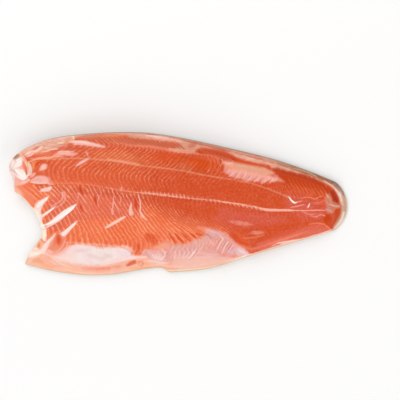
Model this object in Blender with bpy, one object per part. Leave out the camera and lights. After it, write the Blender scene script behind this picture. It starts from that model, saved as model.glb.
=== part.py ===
"""A raw side of trout, trimmed and laid flat with its skin underneath.

Run it with  blender --background --python part.py  or from Blender's text editor.
Lengths are metres and +Z is up. +X runs from the collar cut to the tail and +Y from the
belly to the back. The origin is on the resting plane, under the middle of the outline.

Two pieces are made: the flesh, and the skin that cups it from below. Both are laid out on
the same map of the fillet. A place on that map has a share along the side, from 0 at the
collar to 1 at the tail, and a band number, which counts the lines that run lengthwise:
0 belly edge, 1 belly wall, 2 mid septum, 3 loin line, 4 back line, 5 back edge.
"""

import bisect
import math

import bmesh
import bpy

MM = 0.001

# Corners of the outline, in millimetres, and the middle of its box, which becomes the origin
COLLAR_BACK = (-170.0, 53.0)
COLLAR_BELLY = (-161.0, -74.0)
TAIL_BACK = (171.0, 38.5)
TAIL_BELLY = (172.0, -11.5)
NOTCH = (-142.0, -41.0)
CENTRE = (0.74, -0.50)
TAIL_BULGE, TAIL_ROUNDING = 13.5, 0.85
LENGTH = TAIL_BACK[0] - COLLAR_BACK[0]

# Outline edges: x against y for the two long edges, y against x for the collar's two cuts
BACK_EDGE = [COLLAR_BACK, (-144, 65.5), (-105, 73.5), (-40, 79), (8, 75.5),
             (72, 65), (112, 57), (145, 47.5), TAIL_BACK]
BELLY_EDGE = [COLLAR_BELLY, (-129, -78.5), (-87, -79.8), (-40, -74), (12, -67.5),
              (50, -60), (90, -44), (135, -26), TAIL_BELLY]
FLAP_CUT = [(COLLAR_BELLY[1], COLLAR_BELLY[0]), (-58, -154), (NOTCH[1], NOTCH[0])]
COLLAR_CUT = [(NOTCH[1], NOTCH[0]), (-29, -145), (-12, -155), (2, -169), (9, -175.5),
              (18, -177.5), (30, -183.5), (41, -180.5), (COLLAR_BACK[1], COLLAR_BACK[0])]
CUT_REACH = 0.30
TAIL_REACH = 0.16

# The dent in the belly edge: its place, its depth, its length to each side and its reach inwards
DENT_X, DENT, DENT_TO_COLLAR, DENT_TO_TAIL, DENT_REACH = -5.5, 5.6, 55.0, 13.0, 0.16

# Where the lengthwise lines lie, as shares of the width from belly edge to back edge
WALL_LINE = [(0.0, 0.20), (0.18, 0.22), (0.42, 0.21), (0.60, 0.22), (0.76, 0.17), (0.88, 0.12), (1.0, 0.10)]
MID_LINE = [(0.0, 0.66), (0.13, 0.655), (0.33, 0.61), (0.53, 0.575), (0.64, 0.56),
            (0.75, 0.49), (0.89, 0.42), (1.0, 0.43)]
LOIN_LINE = [(0.0, 0.85), (0.13, 0.83), (0.30, 0.785), (0.47, 0.76), (0.62, 0.745),
             (0.75, 0.70), (0.85, 0.60), (1.0, 0.52)]
BACK_LINE = [(0.0, 0.94), (0.27, 0.905), (0.47, 0.885), (0.65, 0.905), (0.85, 0.86), (1.0, 0.80)]
BAND_ROWS = (5, 7, 6, 4, 4)

# Thickness: the loin's along the side, and each band's share of it, over the belly and behind it
LOIN_THICKNESS = [(0.0, 20), (0.10, 25), (0.30, 29), (0.50, 27.5), (0.70, 21.5), (0.85, 15), (1.0, 9)]
BAND_THICKNESS = [(0.0, 0.21), (0.6, 0.27), (1.0, 0.38), (1.4, 0.55), (2.0, 0.83),
                  (2.5, 0.95), (3.0, 0.99), (4.0, 0.94), (5.0, 0.84)]
BAND_THICKNESS_BEHIND = [(0.0, 0.60), (0.6, 0.70), (1.0, 0.78), (2.0, 0.93), (3.0, 0.99),
                         (4.0, 0.92), (5.0, 0.80)]
BELLY_END, BELLY_FADE = 0.80, 0.28
FULL_WIDTH = 152.0

# Flakes: how far each band's point of a flake lies towards the tail in the widest part, how far
# each groove leans towards the crest that follows it as a share of half a flake, and the rise
# of the flesh over its border from which the grooves have their full depth
FLAKES = 80
FLAKE_CROWDING = 0.31
FLAKE_SHIFT = [(0.0, 16), (0.5, 22), (1.0, 25), (1.5, 7), (2.0, -11), (2.45, -16.5), (3.0, -5),
               (3.85, 17), (4.2, 13), (5.0, 3)]
FLAKE_FADE = 0.22
FLAKE_GROOVE = 1.0
FLAKE_LEAN = 0.62
FULL_RELIEF = 6.0
MID_GROOVE = 1.5
LOIN_GROOVE = 0.8
GROOVE_WIDTH = 0.18

# The edges: how wide each edge rolls over, the thin ledge of fat along the back and tail, and
# how high the flesh stands at its border
BACK_ROLL, BELLY_ROLL, COLLAR_ROLL, TAIL_ROLL = 19.0, 11.0, 9.0, 13.0
BACK_LEDGE = [(0.0, 0.0), (0.35, 0.3), (0.6, 2.6), (0.85, 3.6), (1.0, 4.0)]
TAIL_LEDGE = 5.5
BORDER_HEIGHT = [(0.0, 3.8), (4.0, 4.4), (5.0, 8.0)]
BORDER_HEIGHT_TAIL = 0.5

# Skin: its thickness, its gap to the flesh, the steps of its curl from rim to base, how wide it
# curls at the back, belly, collar and tail, and how high its rim stands
SKIN = 1.0
SKIN_GAP = 0.6
CURL_STEPS = (0.0, 0.13, 0.5, 1.0)
CURL_WIDTH = (10.0, 5.0, 4.0, 6.0)
SKIN_RIM = [(0.0, 2.2), (1.0, 2.2), (4.0, 2.8), (5.0, 6.0)]
SKIN_RIM_TAIL = 0.5
SKIN_CELLS = (62, 22)

SHARP_DEGREES = 28.0
FLESH_COLOUR = (0.80, 0.20, 0.075)
SKIN_COLOUR = (0.33, 0.34, 0.34)


def lerp(a, b, share):
    """The value that lies at this share of the way from a to b."""
    return a + (b - a) * share


def through(knots, at):
    """The height at a place on a smooth curve through the knots."""
    places = [k[0] for k in knots]
    i = min(max(bisect.bisect_right(places, at) - 1, 0), len(knots) - 2)

    def slope(k):
        low, high = max(k - 1, 0), min(k + 1, len(knots) - 1)
        return (knots[high][1] - knots[low][1]) / (knots[high][0] - knots[low][0])

    span = places[i + 1] - places[i]
    s = min(max((at - places[i]) / span, 0.0), 1.0)
    bend_in, bend_out = s * (1 - s) ** 2, s * s * (1 - s)
    ease = s * s * (3 - 2 * s)
    return lerp(knots[i][1], knots[i + 1][1], ease) + span * (slope(i) * bend_in - slope(i + 1) * bend_out)


def fade(share, width):
    """1 at share 0, easing to 0 at width and beyond."""
    s = min(max(share / width, 0.0), 1.0)
    return 1 - s * s * (3 - 2 * s)


def quarter_round(distance, width):
    """A quarter circle's height, 0 at the edge and 1 from width inwards."""
    s = 1 - min(max(distance / width, 0.0), 1.0)
    return math.sqrt(1 - s * s)


def edges_at(along):
    """The belly edge's and back edge's points at this share of the length."""
    belly_x = lerp(COLLAR_BELLY[0], TAIL_BELLY[0], along)
    back_x = lerp(COLLAR_BACK[0], TAIL_BACK[0], along)
    return (belly_x, through(BELLY_EDGE, belly_x)), (back_x, through(BACK_EDGE, back_x))


def width_at(along):
    """The fillet's width at this share of the length, in millimetres."""
    belly, back = edges_at(along)
    return back[1] - belly[1]


def share_of_band(along, band):
    """Where a band number lies across the width, as a share from belly to back."""
    lines = [0.0] + [through(line, along) for line in (WALL_LINE, MID_LINE, LOIN_LINE, BACK_LINE)] + [1.0]
    lower = min(int(band), len(lines) - 2)
    return lerp(lines[lower], lines[lower + 1], band - lower)


def plan(along, across):
    """The point of the outline's map at these shares of the length and the width."""
    belly, back = edges_at(along)
    x, y = lerp(belly[0], back[0], across), lerp(belly[1], back[1], across)
    cut_y = lerp(COLLAR_BELLY[1], COLLAR_BACK[1], across)
    cut_x = through(FLAP_CUT if cut_y < NOTCH[1] else COLLAR_CUT, cut_y)
    cut_pull = cut_x - lerp(COLLAR_BELLY[0], COLLAR_BACK[0], across)
    tail_pull = TAIL_BULGE * (4 * across * (1 - across)) ** TAIL_ROUNDING
    x += cut_pull * fade(along, CUT_REACH) + tail_pull * fade(1 - along, TAIL_REACH)
    dent = DENT * fade(abs(x - DENT_X), DENT_TO_COLLAR if x < DENT_X else DENT_TO_TAIL)
    return x, y + dent * fade(across, DENT_REACH)


def inset(along, across, margins):
    """Draws a place on the map in from the four edges: back, belly, collar and tail."""
    back, belly, collar, tail = margins
    width = width_at(along)
    return (
        collar / LENGTH + along * (1 - (collar + tail) / LENGTH),
        belly / width + across * (1 - (belly + back) / width),
    )


def flake_shift(along, band):
    """How far a flake's line is moved along the side at this band, in millimetres."""
    ends = (1 - fade(along, FLAKE_FADE)) * (1 - fade(1 - along, FLAKE_FADE))
    return through(FLAKE_SHIFT, band) * ends * width_at(along) / FULL_WIDTH


def rolls(along, across):
    """How far the edges let the flesh rise here, from 0 at the border to 1 inside."""
    width = width_at(along)
    narrow = min(1.0, width / FULL_WIDTH + 0.15)
    return (
        quarter_round((1 - across) * width - through(BACK_LEDGE, along), BACK_ROLL * narrow)
        * quarter_round(across * width, BELLY_ROLL * narrow)
        * quarter_round(along * LENGTH, COLLAR_ROLL)
        * quarter_round((1 - along) * LENGTH - TAIL_LEDGE, TAIL_ROLL)
    )


def border_height(along, band):
    """The height of the flesh's top at its border."""
    return through(BORDER_HEIGHT, band) * lerp(1.0, BORDER_HEIGHT_TAIL, along)


def flesh_top(along, across, band, groove):
    """The height of the flesh's upper face; groove is 1 on a flake's line and 0 on its crest."""
    belly = fade(along - BELLY_END + BELLY_FADE, BELLY_FADE)
    share = lerp(through(BAND_THICKNESS_BEHIND, band), through(BAND_THICKNESS, band), belly)
    border = border_height(along, band)
    rise = max(through(LOIN_THICKNESS, along) * share - border, 0.0)
    relief = FLAKE_GROOVE * groove
    relief += MID_GROOVE * math.exp(-(((band - 2) / GROOVE_WIDTH) ** 2))
    relief += LOIN_GROOVE * math.exp(-(((band - 3) / GROOVE_WIDTH) ** 2))
    return border + (rise - relief * min(1.0, rise / FULL_RELIEF)) * rolls(along, across)


def skin_rim(along, band):
    """The height that the skin's rim reaches around the border."""
    return through(SKIN_RIM, band) * lerp(1.0, SKIN_RIM_TAIL, along)


def cup(along, band, step, lift):
    """A point of the cup's wall, lift above its outer face; step runs from 0 at the rim to 1 at the base."""
    slope = quarter_round(step, 1.0)
    margins = [step * width + lift * quarter_round(1 - step, 1.0) for width in CURL_WIDTH]
    height = skin_rim(along, band) * (1 - slope) + lift * slope
    across = share_of_band(along, band)
    return to_metres(plan(*inset(along, across, margins)), max(height, lift))


def material(name, colour, roughness):
    """A Principled material of one colour."""
    made = bpy.data.materials.new(name)
    made.use_nodes = True
    shader = made.node_tree.nodes["Principled BSDF"]
    shader.inputs["Base Color"].default_value = (*colour, 1.0)
    shader.inputs["Roughness"].default_value = roughness
    shader.inputs["Metallic"].default_value = 0.0
    return made


def new_map(cells_along, cells_across):
    """A grid whose vertices carry their share along the side and their step across it."""
    mesh = bmesh.new()
    bmesh.ops.create_grid(mesh, x_segments=cells_along, y_segments=cells_across, size=0.5)
    along = mesh.verts.layers.float.new("along")
    step = mesh.verts.layers.float.new("step")
    for vert in mesh.verts:
        vert[along], vert[step] = vert.co.x + 0.5, vert.co.y + 0.5
    return mesh, along, step


def band_of_step(step, rows):
    """The band number of a step across the map, where each band has its own number of rows."""
    row, band = step * sum(rows), 0
    while band < len(rows) - 1 and row > rows[band]:
        row -= rows[band]
        band += 1
    return band + row / rows[band]


def crowded(along):
    """Crowds the flakes towards the tail, where they are shorter."""
    return along * (1 + FLAKE_CROWDING * (1 - along))


def border_of(mesh):
    """The edges around the open border."""
    return [edge for edge in mesh.edges if edge.is_boundary]


def grow_ring(mesh, place):
    """Extrudes the open border and moves each new vertex to where place puts it."""
    made = bmesh.ops.extrude_edge_only(mesh, edges=border_of(mesh))["geom"]
    for vert in made:
        if isinstance(vert, bmesh.types.BMVert):
            vert.co = place(vert)


def to_metres(point, height):
    """A point of the map and a height, in metres from the origin."""
    return (point[0] - CENTRE[0]) * MM, (point[1] - CENTRE[1]) * MM, height * MM


def finish(mesh, name, surface):
    """Closes the open border with one flat face and links the mesh as a named object."""
    bmesh.ops.contextual_create(mesh, geom=border_of(mesh))
    bmesh.ops.recalc_face_normals(mesh, faces=mesh.faces[:])
    data = bpy.data.meshes.new(name)
    mesh.to_mesh(data)
    mesh.free()
    data.materials.append(surface)
    made = bpy.data.objects.new(name, data)
    bpy.context.scene.collection.objects.link(made)
    data.shade_smooth()
    data.set_sharp_from_angle(angle=math.radians(SHARP_DEGREES))
    return made


def make_flesh():
    """The flesh: flakes between grooves above, and an underside that the skin cups."""
    mesh, along_layer, step_layer = new_map(2 * FLAKES, sum(BAND_ROWS))
    underside = SKIN + SKIN_GAP

    def spot(vert):
        return crowded(vert[along_layer]), band_of_step(vert[step_layer], BAND_ROWS)

    for vert in mesh.verts:
        groove = round(vert[along_layer] * 2 * FLAKES) % 2
        vert[along_layer] += groove * FLAKE_LEAN / (2 * FLAKES)
        along, band = spot(vert)
        along += flake_shift(along, band) / LENGTH
        across = share_of_band(along, band)
        place = plan(*inset(along, across, (underside,) * 4))
        vert.co = to_metres(place, flesh_top(along, across, band, groove))
    for step in CURL_STEPS[1:]:
        grow_ring(mesh, lambda vert, step=step: cup(*spot(vert), step, underside))
    return finish(mesh, "flesh", material("flesh", FLESH_COLOUR, 0.35))


def make_skin():
    """The skin: a thin cup, flat below and curled up around the border."""
    mesh, along_layer, step_layer = new_map(*SKIN_CELLS)
    bmesh.ops.dissolve_faces(mesh, faces=mesh.faces[:])

    def place_at(step, lift):
        def place(vert):
            return cup(crowded(vert[along_layer]), 5 * vert[step_layer], step, lift)

        return place

    for vert in mesh.verts:
        vert.co = place_at(CURL_STEPS[-1], SKIN)(vert)
    for step in reversed(CURL_STEPS[:-1]):
        grow_ring(mesh, place_at(step, SKIN))
    for step in CURL_STEPS:
        grow_ring(mesh, place_at(step, 0.0))
    return finish(mesh, "skin", material("skin", SKIN_COLOUR, 0.3))


for old in list(bpy.data.objects):
    bpy.data.objects.remove(old)
make_flesh()
make_skin()
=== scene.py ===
"""A raw side of trout under its clinging film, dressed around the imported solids.

Lengths on the fillet are millimetres of its plan: x runs from the collar cut to the tail and y
from the belly to the back, as in the part's source. Meshes are placed in metres.
"""

import logging
import math
from dataclasses import dataclass, field
from enum import Enum
from functools import reduce
from typing import Callable, Iterable, Optional

import bmesh
import bpy
import numpy as np
from mathutils import Matrix, Vector
from mathutils.bvhtree import BVHTree


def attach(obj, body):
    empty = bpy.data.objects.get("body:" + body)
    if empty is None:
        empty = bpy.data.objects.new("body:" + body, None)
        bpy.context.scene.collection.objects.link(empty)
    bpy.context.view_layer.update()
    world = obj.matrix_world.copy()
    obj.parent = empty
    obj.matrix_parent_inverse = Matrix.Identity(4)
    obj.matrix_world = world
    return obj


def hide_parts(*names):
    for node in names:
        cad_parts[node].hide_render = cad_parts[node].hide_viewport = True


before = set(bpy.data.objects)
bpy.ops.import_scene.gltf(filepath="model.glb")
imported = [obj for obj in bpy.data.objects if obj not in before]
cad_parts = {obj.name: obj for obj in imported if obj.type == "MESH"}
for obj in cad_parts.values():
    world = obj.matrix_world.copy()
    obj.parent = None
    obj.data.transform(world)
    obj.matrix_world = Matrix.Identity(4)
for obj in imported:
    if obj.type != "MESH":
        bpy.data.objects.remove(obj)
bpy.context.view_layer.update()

log = logging.getLogger("trout")
MM = 0.001
SHARP = math.radians(60)
Array = np.ndarray
Points = tuple[tuple[float, ...], ...]
Socket = bpy.types.NodeSocket
Colour = tuple[float, float, float]


# ---------------------------------------------------------------- tables and curves

def knots(text: str) -> Points:
    """Reads points that are written as numbers with commas, a space between points."""
    return tuple(tuple(float(part) for part in word.split(",")) for word in text.split())


def read_rows(text: str) -> list[tuple[str, list[float], Points]]:
    """Reads a table.

    Args:
        text: A row a line: a name, plain numbers and points. An indented line goes on with its row.

    Returns:
        Each row's name, numbers and points.
    """
    rows = []
    for row in text.strip().replace("\n  ", " ").splitlines():
        name, *words = row.split()
        numbers = [float(word) for word in words if "," not in word]
        rows.append((name, numbers, knots(" ".join(words[len(numbers):]))))
    return rows


def lerp(a: Array, b: Array, share: Array) -> Array:
    """The value at this share of the way from a to b."""
    return a + (b - a) * share


def fade(share: Array, width: Array) -> Array:
    """1 at share 0, easing to 0 at width and beyond."""
    s = np.clip(share / width, 0, 1)
    return 1 - s * s * (3 - 2 * s)


def quarter_round(distance: Array, width: Array) -> Array:
    """A quarter circle's height, 0 at the edge and 1 from width inwards."""
    return np.sqrt(1 - (1 - np.clip(distance / width, 0, 1)) ** 2)


def through(curve: Points, at: Array) -> Array:
    """Smooth curve through knots.

    Args:
        curve: Places and heights, in order of place.
        at: Places at which to read the curve.

    Returns:
        The curve's heights.
    """
    places, heights = np.array(curve, float).T
    at = np.asarray(at, float)
    return blend_rows(places, heights[:, None] + 0 * at.ravel(), at.ravel()).reshape(at.shape)


def blend_rows(places: Array, rows: Array, at: Array) -> Array:
    """Smooth curve through knots whose heights differ from point to point.

    Args:
        places: The knots' places, the same for every point.
        rows: Heights, one row a knot and one column a point.
        at: Where each point reads its own curve.

    Returns:
        One height a point.
    """
    index = np.clip(np.searchsorted(places, at, side="right") - 1, 0, len(places) - 2)
    order, column = np.arange(len(places)), np.arange(len(at))
    low, high = np.maximum(order - 1, 0), np.minimum(order + 1, len(places) - 1)
    slopes = (rows[high] - rows[low]) / (places[high] - places[low])[:, None]
    span = places[index + 1] - places[index]
    share = np.clip((at - places[index]) / span, 0, 1)
    bend = (slopes[index, column] * share * (1 - share) ** 2
            - slopes[index + 1, column] * share * share * (1 - share))
    return lerp(rows[index, column], rows[index + 1, column], 1 - fade(share, 1)) + span * bend


# ---------------------------------------------------------------- the fillet's plan

COLLAR_BACK, COLLAR_BELLY = (-170.0, 53.0), (-161.0, -74.0)
TAIL_BACK, TAIL_BELLY = (171.0, 38.5), (172.0, -11.5)
NOTCH = (-142.0, -41.0)


@dataclass(frozen=True)
class Plan:
    """The fillet's outline, lengthwise lines and thickness, as the part's source has them.

    Its methods take shares of the length from the collar, called along, shares of the width from the
    belly, called across, and band numbers: 0 belly, 1 wall, 2 septum, 3 loin, 4 and 5 back.
    """

    centre: tuple[float, float] = (0.74, -0.50)
    length: float = TAIL_BACK[0] - COLLAR_BACK[0]
    back_edge: Points = (COLLAR_BACK, *knots("-144,65.5 -105,73.5 -40,79 8,75.5 72,65 112,57 145,47.5"),
                         TAIL_BACK)
    belly_edge: Points = (COLLAR_BELLY, *knots("-129,-78.5 -87,-79.8 -40,-74 12,-67.5 50,-60 90,-44 135,-26"),
                          TAIL_BELLY)
    flap_cut: Points = (COLLAR_BELLY[::-1], (-58, -154), NOTCH[::-1])
    collar_cut: Points = (NOTCH[::-1], *knots("-29,-145 -12,-155 1,-168.6 6,-176.2 18,-178 30,-183.5 41,-180.5"),
                          COLLAR_BACK[::-1])
    cut_reach: float = 0.30
    tail_reach: float = 0.16
    tail_bulge: float = 13.5
    tail_rounding: float = 0.85
    dent: tuple[float, ...] = (-5.5, 5.6, 55.0, 13.0, 0.16)
    lines: tuple[Points, ...] = (
        knots("0,.20 .18,.22 .42,.21 .60,.22 .76,.17 .88,.12 1,.10"),
        knots("0,.66 .13,.655 .33,.61 .53,.575 .64,.56 .75,.49 .89,.42 1,.43"),
        knots("0,.85 .13,.83 .30,.785 .47,.76 .62,.745 .75,.70 .85,.60 1,.52"),
        knots("0,.94 .27,.905 .47,.885 .65,.905 .85,.86 1,.80"))
    loin_thickness: Points = knots("0,20 .10,25 .30,29 .50,27.5 .70,21.5 .85,15 1,9")
    band_thickness: Points = knots("0,.21 .6,.27 1,.38 1.4,.55 2,.83 2.5,.95 3,.99 4,.94 5,.84")
    band_thickness_behind: Points = knots("0,.60 .6,.70 1,.78 2,.93 3,.99 4,.92 5,.80")
    belly_end: tuple[float, float] = (0.80, 0.28)
    full_width: float = 152.0
    least_roll: float = 0.15
    rolls_at: tuple[float, ...] = (19.0, 11.0, 9.0, 13.0)
    back_ledge: Points = knots("0,0 .35,.3 .6,2.6 .85,3.6 1,4")
    tail_ledge: float = 5.5
    border: Points = knots("0,3.8 4,4.4 5,8")
    rim: Points = knots("0,2.2 1,2.2 4,2.8 5,6")
    at_tail: float = 0.5
    full_relief: float = 6.0
    skin: float = 1.0
    curls: tuple[float, ...] = (10.0, 5.0, 4.0, 6.0)

    def metres(self, x: Array, y: Array, height: Array) -> Array:
        """Points of the plan with their heights, in metres from the origin."""
        return np.stack([x - self.centre[0], y - self.centre[1], height], -1) * MM

    def edges(self, along: Array) -> tuple[Array, Array, Array, Array]:
        """The belly edge's x and y, then the back edge's."""
        belly_x, back_x = lerp(COLLAR_BELLY[0], TAIL_BELLY[0], along), lerp(COLLAR_BACK[0], TAIL_BACK[0], along)
        return belly_x, through(self.belly_edge, belly_x), back_x, through(self.back_edge, back_x)

    def width(self, along: Array) -> Array:
        """The fillet's width."""
        _, low, _, high = self.edges(along)
        return high - low

    def across(self, along: Array, band: Array) -> Array:
        """Band numbers as shares of the width.

        Args:
            along: Shares of the length.
            band: Band numbers.

        Returns:
            Shares of the width.
        """
        lines = np.stack([0 * along, *(through(line, along) for line in self.lines), 0 * along + 1])
        low, column = np.clip(band.astype(int), 0, 4), np.arange(len(along))
        return lerp(lines[low, column], lines[low + 1, column], band - low)

    def place(self, along: Array, across: Array) -> tuple[Array, Array]:
        """Plan points at these shares.

        Args:
            along: Shares of the length.
            across: Shares of the width.

        Returns:
            Their x and y.
        """
        belly_x, belly_y, back_x, back_y = self.edges(along)
        x, y = lerp(belly_x, back_x, across), lerp(belly_y, back_y, across)
        cut_y = lerp(COLLAR_BELLY[1], COLLAR_BACK[1], across)
        cut_x = np.where(cut_y < NOTCH[1], through(self.flap_cut, cut_y), through(self.collar_cut, cut_y))
        pull = cut_x - lerp(COLLAR_BELLY[0], COLLAR_BACK[0], across)
        round_off = self.tail_bulge * np.clip(4 * across * (1 - across), 0, 1) ** self.tail_rounding
        x = x + pull * fade(along, self.cut_reach) + round_off * fade(1 - along, self.tail_reach)
        at, depth, to_collar, to_tail, reach = self.dent
        dent = depth * fade(np.abs(x - at), np.where(x < at, to_collar, to_tail))
        return x, y + dent * fade(across, reach)

    def inset(self, along: Array, across: Array, margins: Iterable[float]) -> tuple[Array, Array]:
        """Draws places in from the four edges.

        Args:
            along: Shares of the length.
            across: Shares of the width.
            margins: How far in from the back, the belly, the collar and the tail.

        Returns:
            The new shares of the length and the width.
        """
        width, (back, belly, collar, tail) = self.width(along), margins
        return (collar / self.length + along * (1 - (collar + tail) / self.length),
                belly / width + across * (1 - (belly + back) / width))

    def rise_share(self, along: Array, across: Array) -> Array:
        """How far the rolled edges let the flesh rise.

        Args:
            along: Shares of the length.
            across: Shares of the width.

        Returns:
            0 at the border to 1 inside.
        """
        width, (back, belly, collar, tail) = self.width(along), self.rolls_at
        narrow = np.minimum(1.0, width / self.full_width + self.least_roll)
        return (quarter_round((1 - across) * width - through(self.back_ledge, along), back * narrow)
                * quarter_round(across * width, belly * narrow)
                * quarter_round(along * self.length, collar)
                * quarter_round((1 - along) * self.length - self.tail_ledge, tail))

    def top(self, along: Array, across: Array, band: Array, relief: Array) -> Array:
        """Height of the flesh's upper face.

        Args:
            along: Shares of the length.
            across: Shares of the width.
            band: Band numbers.
            relief: The depth cut into the face.

        Returns:
            Heights in millimetres.
        """
        end, reach = self.belly_end
        share = lerp(through(self.band_thickness_behind, band), through(self.band_thickness, band),
                     fade(along - end + reach, reach))
        border = through(self.border, band) * lerp(1.0, self.at_tail, along)
        rise = np.maximum(through(self.loin_thickness, along) * share - border, 0.0)
        cut = relief * np.minimum(1.0, rise / self.full_relief)
        return border + (rise - cut) * self.rise_share(along, across)

    def cup(self, along: Array, band: Array, curl: float, lift: float) -> Array:
        """Points of the cup's wall.

        Args:
            along: Shares of the length.
            band: Band numbers.
            curl: 0 at the rim to 1 at the base.
            lift: How far inside the cup's outer face.

        Returns:
            Points in metres.
        """
        slope, out = float(quarter_round(curl, 1.0)), float(quarter_round(1 - curl, 1.0))
        x, y = self.place(*self.inset(along, self.across(along, band),
                                      [curl * width + lift * out for width in self.curls]))
        rim = through(self.rim, band) * lerp(1.0, self.at_tail, along)
        return self.metres(x, y, np.maximum(rim * (1 - slope) + lift * slope, lift))


SHIFTS = """
-170 8 13 18 15 10 5 0 -3 4 9 14 11 5
-125 14 23 30 24 15 7 0 -4 6 15 24 19 8
-94 18 28 35.5 27.5 18 8.5 0 -5.5 7 18 28 19 6
-50 20 30 37 28 17 6.5 0 -5.5 7 17 25 16 3
-23 20 32 40 29.5 17 4.5 0 -5 6 15 22 13 0
-9 22 34 44 33 15.5 3.5 0 -4 6 14 21 12 0
5 20 32 42 30 11 1.5 0 -4 6 14 20 11 0
30 14 25 36 21 4.5 1 0 -3 5 13 15 8 -2
60 8 16 25 16 5 1.5 0 -2 6 12 11 5 -4
100 6 10 13 9 4 1 0 0 6 5 -1 -6 -11
125 4 6 8 6 3 1 0 1 4 -1 -8 -14 -19
150 2 3 4 3 2 1 0 1 2 -3 -9 -14 -19
171 0 1 2 1 1 0 0 0 1 -2 -5 -8 -11
"""


@dataclass(frozen=True)
class Flakes:
    """How the flakes run.

    Each row of shifts has a place x, then how far the flakes reach towards the tail there at each of bands.
    """

    count: int = 80
    crowding: float = 0.31
    fade_in: float = 0.16
    fade_out: float = 0.12
    groove_at: float = 0.81
    steep: float = 0.10
    long: float = 0.22
    bands: tuple[float, ...] = (0, 0.5, 1, 1.25, 1.5, 1.75, 2, 2.5, 3, 3.5, 4, 4.5, 5)
    shifts: str = SHIFTS

    def along(self, step: Array) -> Array:
        """Crowds steps of the length towards the tail, where flakes are shorter."""
        return step * (1 + self.crowding * (1 - step))

    def shifted(self, plan: Plan, along: Array, band: Array) -> Array:
        """Where a flake meets a band.

        Args:
            plan: The fillet's plan.
            along: Shares of the length at which the flakes cross the septum.
            band: Band numbers.

        Returns:
            Shares of the length.
        """
        stations, *rows = np.array([row.split() for row in self.shifts.strip().splitlines()], float).T
        at = COLLAR_BACK[0] + along * plan.length
        shifts = np.stack([through(tuple(zip(stations, row)), at) for row in rows])
        ends = (1 - fade(along, self.fade_in)) * (1 - fade(1 - along, self.fade_out))
        return along + blend_rows(np.array(self.bands, float), shifts, band) * ends / plan.length

    def groove(self, phase: Array) -> Array:
        """How deep a groove is at this place in a flake: steep towards the tail and long behind."""
        behind = (phase - self.groove_at) % 1.0
        return np.maximum(np.exp(-behind / self.steep), np.exp(-(1 - behind) / self.long))


# ---------------------------------------------------------------- markings on the flesh

@dataclass(frozen=True)
class Shape:
    """An outline of x and y on the plan, or a streak of x, y and half width."""

    points: Points

    def inside(self, x: Array, y: Array) -> Array:
        """Distance in from the edge.

        Args:
            x: Plan places.
            y: Plan places.

        Returns:
            Millimetres, negative outside.
        """
        best, within = np.full(x.shape, -np.inf), np.zeros(x.shape, bool)
        outline = len(self.points[0]) == 2
        ends = self.points[1:] + self.points[:1] * outline
        for (ax, ay, *half_a), (bx, by, *half_b) in zip(self.points, ends):
            share = ((x - ax) * (bx - ax) + (y - ay) * (by - ay)) / ((bx - ax) ** 2 + (by - ay) ** 2)
            share = np.clip(share, 0, 1)
            away = np.hypot(x - lerp(ax, bx, share), y - lerp(ay, by, share))
            best = np.maximum(best, -away if outline else lerp(half_a[0], half_b[0], share) - away)
            if outline and ay != by:
                within ^= ((ay > y) != (by > y)) & (x < (bx - ax) * (y - ay) / (by - ay) + ax)
        return np.where(within, -best, best)


class Hue(Enum):
    """Colours of the marks, as they show on screen."""

    # WHITE marks are painted highlights: the film's glare.
    WHITE = (252, 240, 234)
    BLUSH = (252, 216, 208)
    PINK = (250, 180, 165)
    CREAM = (251, 219, 188)
    MILK = (255, 234, 218)
    SHELL = (241, 190, 175)
    PEACH = (249, 184, 152)
    SALMON = (240, 134, 100)
    LINE = (250, 148, 108)
    ROSE = (226, 112, 94)
    LAVENDER = (238, 198, 200)
    MAUVE = (214, 146, 142)
    LILAC = (226, 178, 194)
    BEIGE = (212, 168, 138)
    BROWN = (160, 108, 76)
    GREY = (196, 176, 166)
    SLATE = (112, 108, 114)
    AMBER = (232, 148, 96)
    TAN = (208, 130, 98)
    RUSSET = (196, 92, 58)
    ORANGE = (200, 64, 0)
    FLAME = (220, 76, 0)
    DEEP = (214, 70, 22)
    RED = (212, 66, 14)
    DARK = (160, 36, 6)
    MEMBRANE = (246, 214, 208)


@dataclass(frozen=True)
class Mark:
    """Paint on the flesh: its own colours, and the film's glare and crease shade painted among them."""

    hue: Hue
    strength: float
    soft: float
    shape: Shape


def read_marks(text: str) -> list[Mark]:
    """Reads a table of marks.

    Args:
        text: Each row's name is a hue. Its numbers are the strength and the soft edge, and for a mark that
            is repeated the count and the shift in x and y.

    Returns:
        The marks, the lowest first.
    """
    marks = []
    for hue, (strength, soft, *repeat), shape in read_rows(text):
        times, shift_x, shift_y = repeat or (1, 0, 0)
        for turn in range(int(times)):
            moved = tuple((x + turn * shift_x, y + turn * shift_y, *half) for x, y, *half in shape)
            marks.append(Mark(Hue[hue.upper()], strength, soft, Shape(moved)))
    return marks


# The pink and blush streak along the back from x -27 to 11 is a painted highlight. The pink and blush dab near x
# -98 to -82, y 37 to 47 is a painted reflection of the film.
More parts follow.
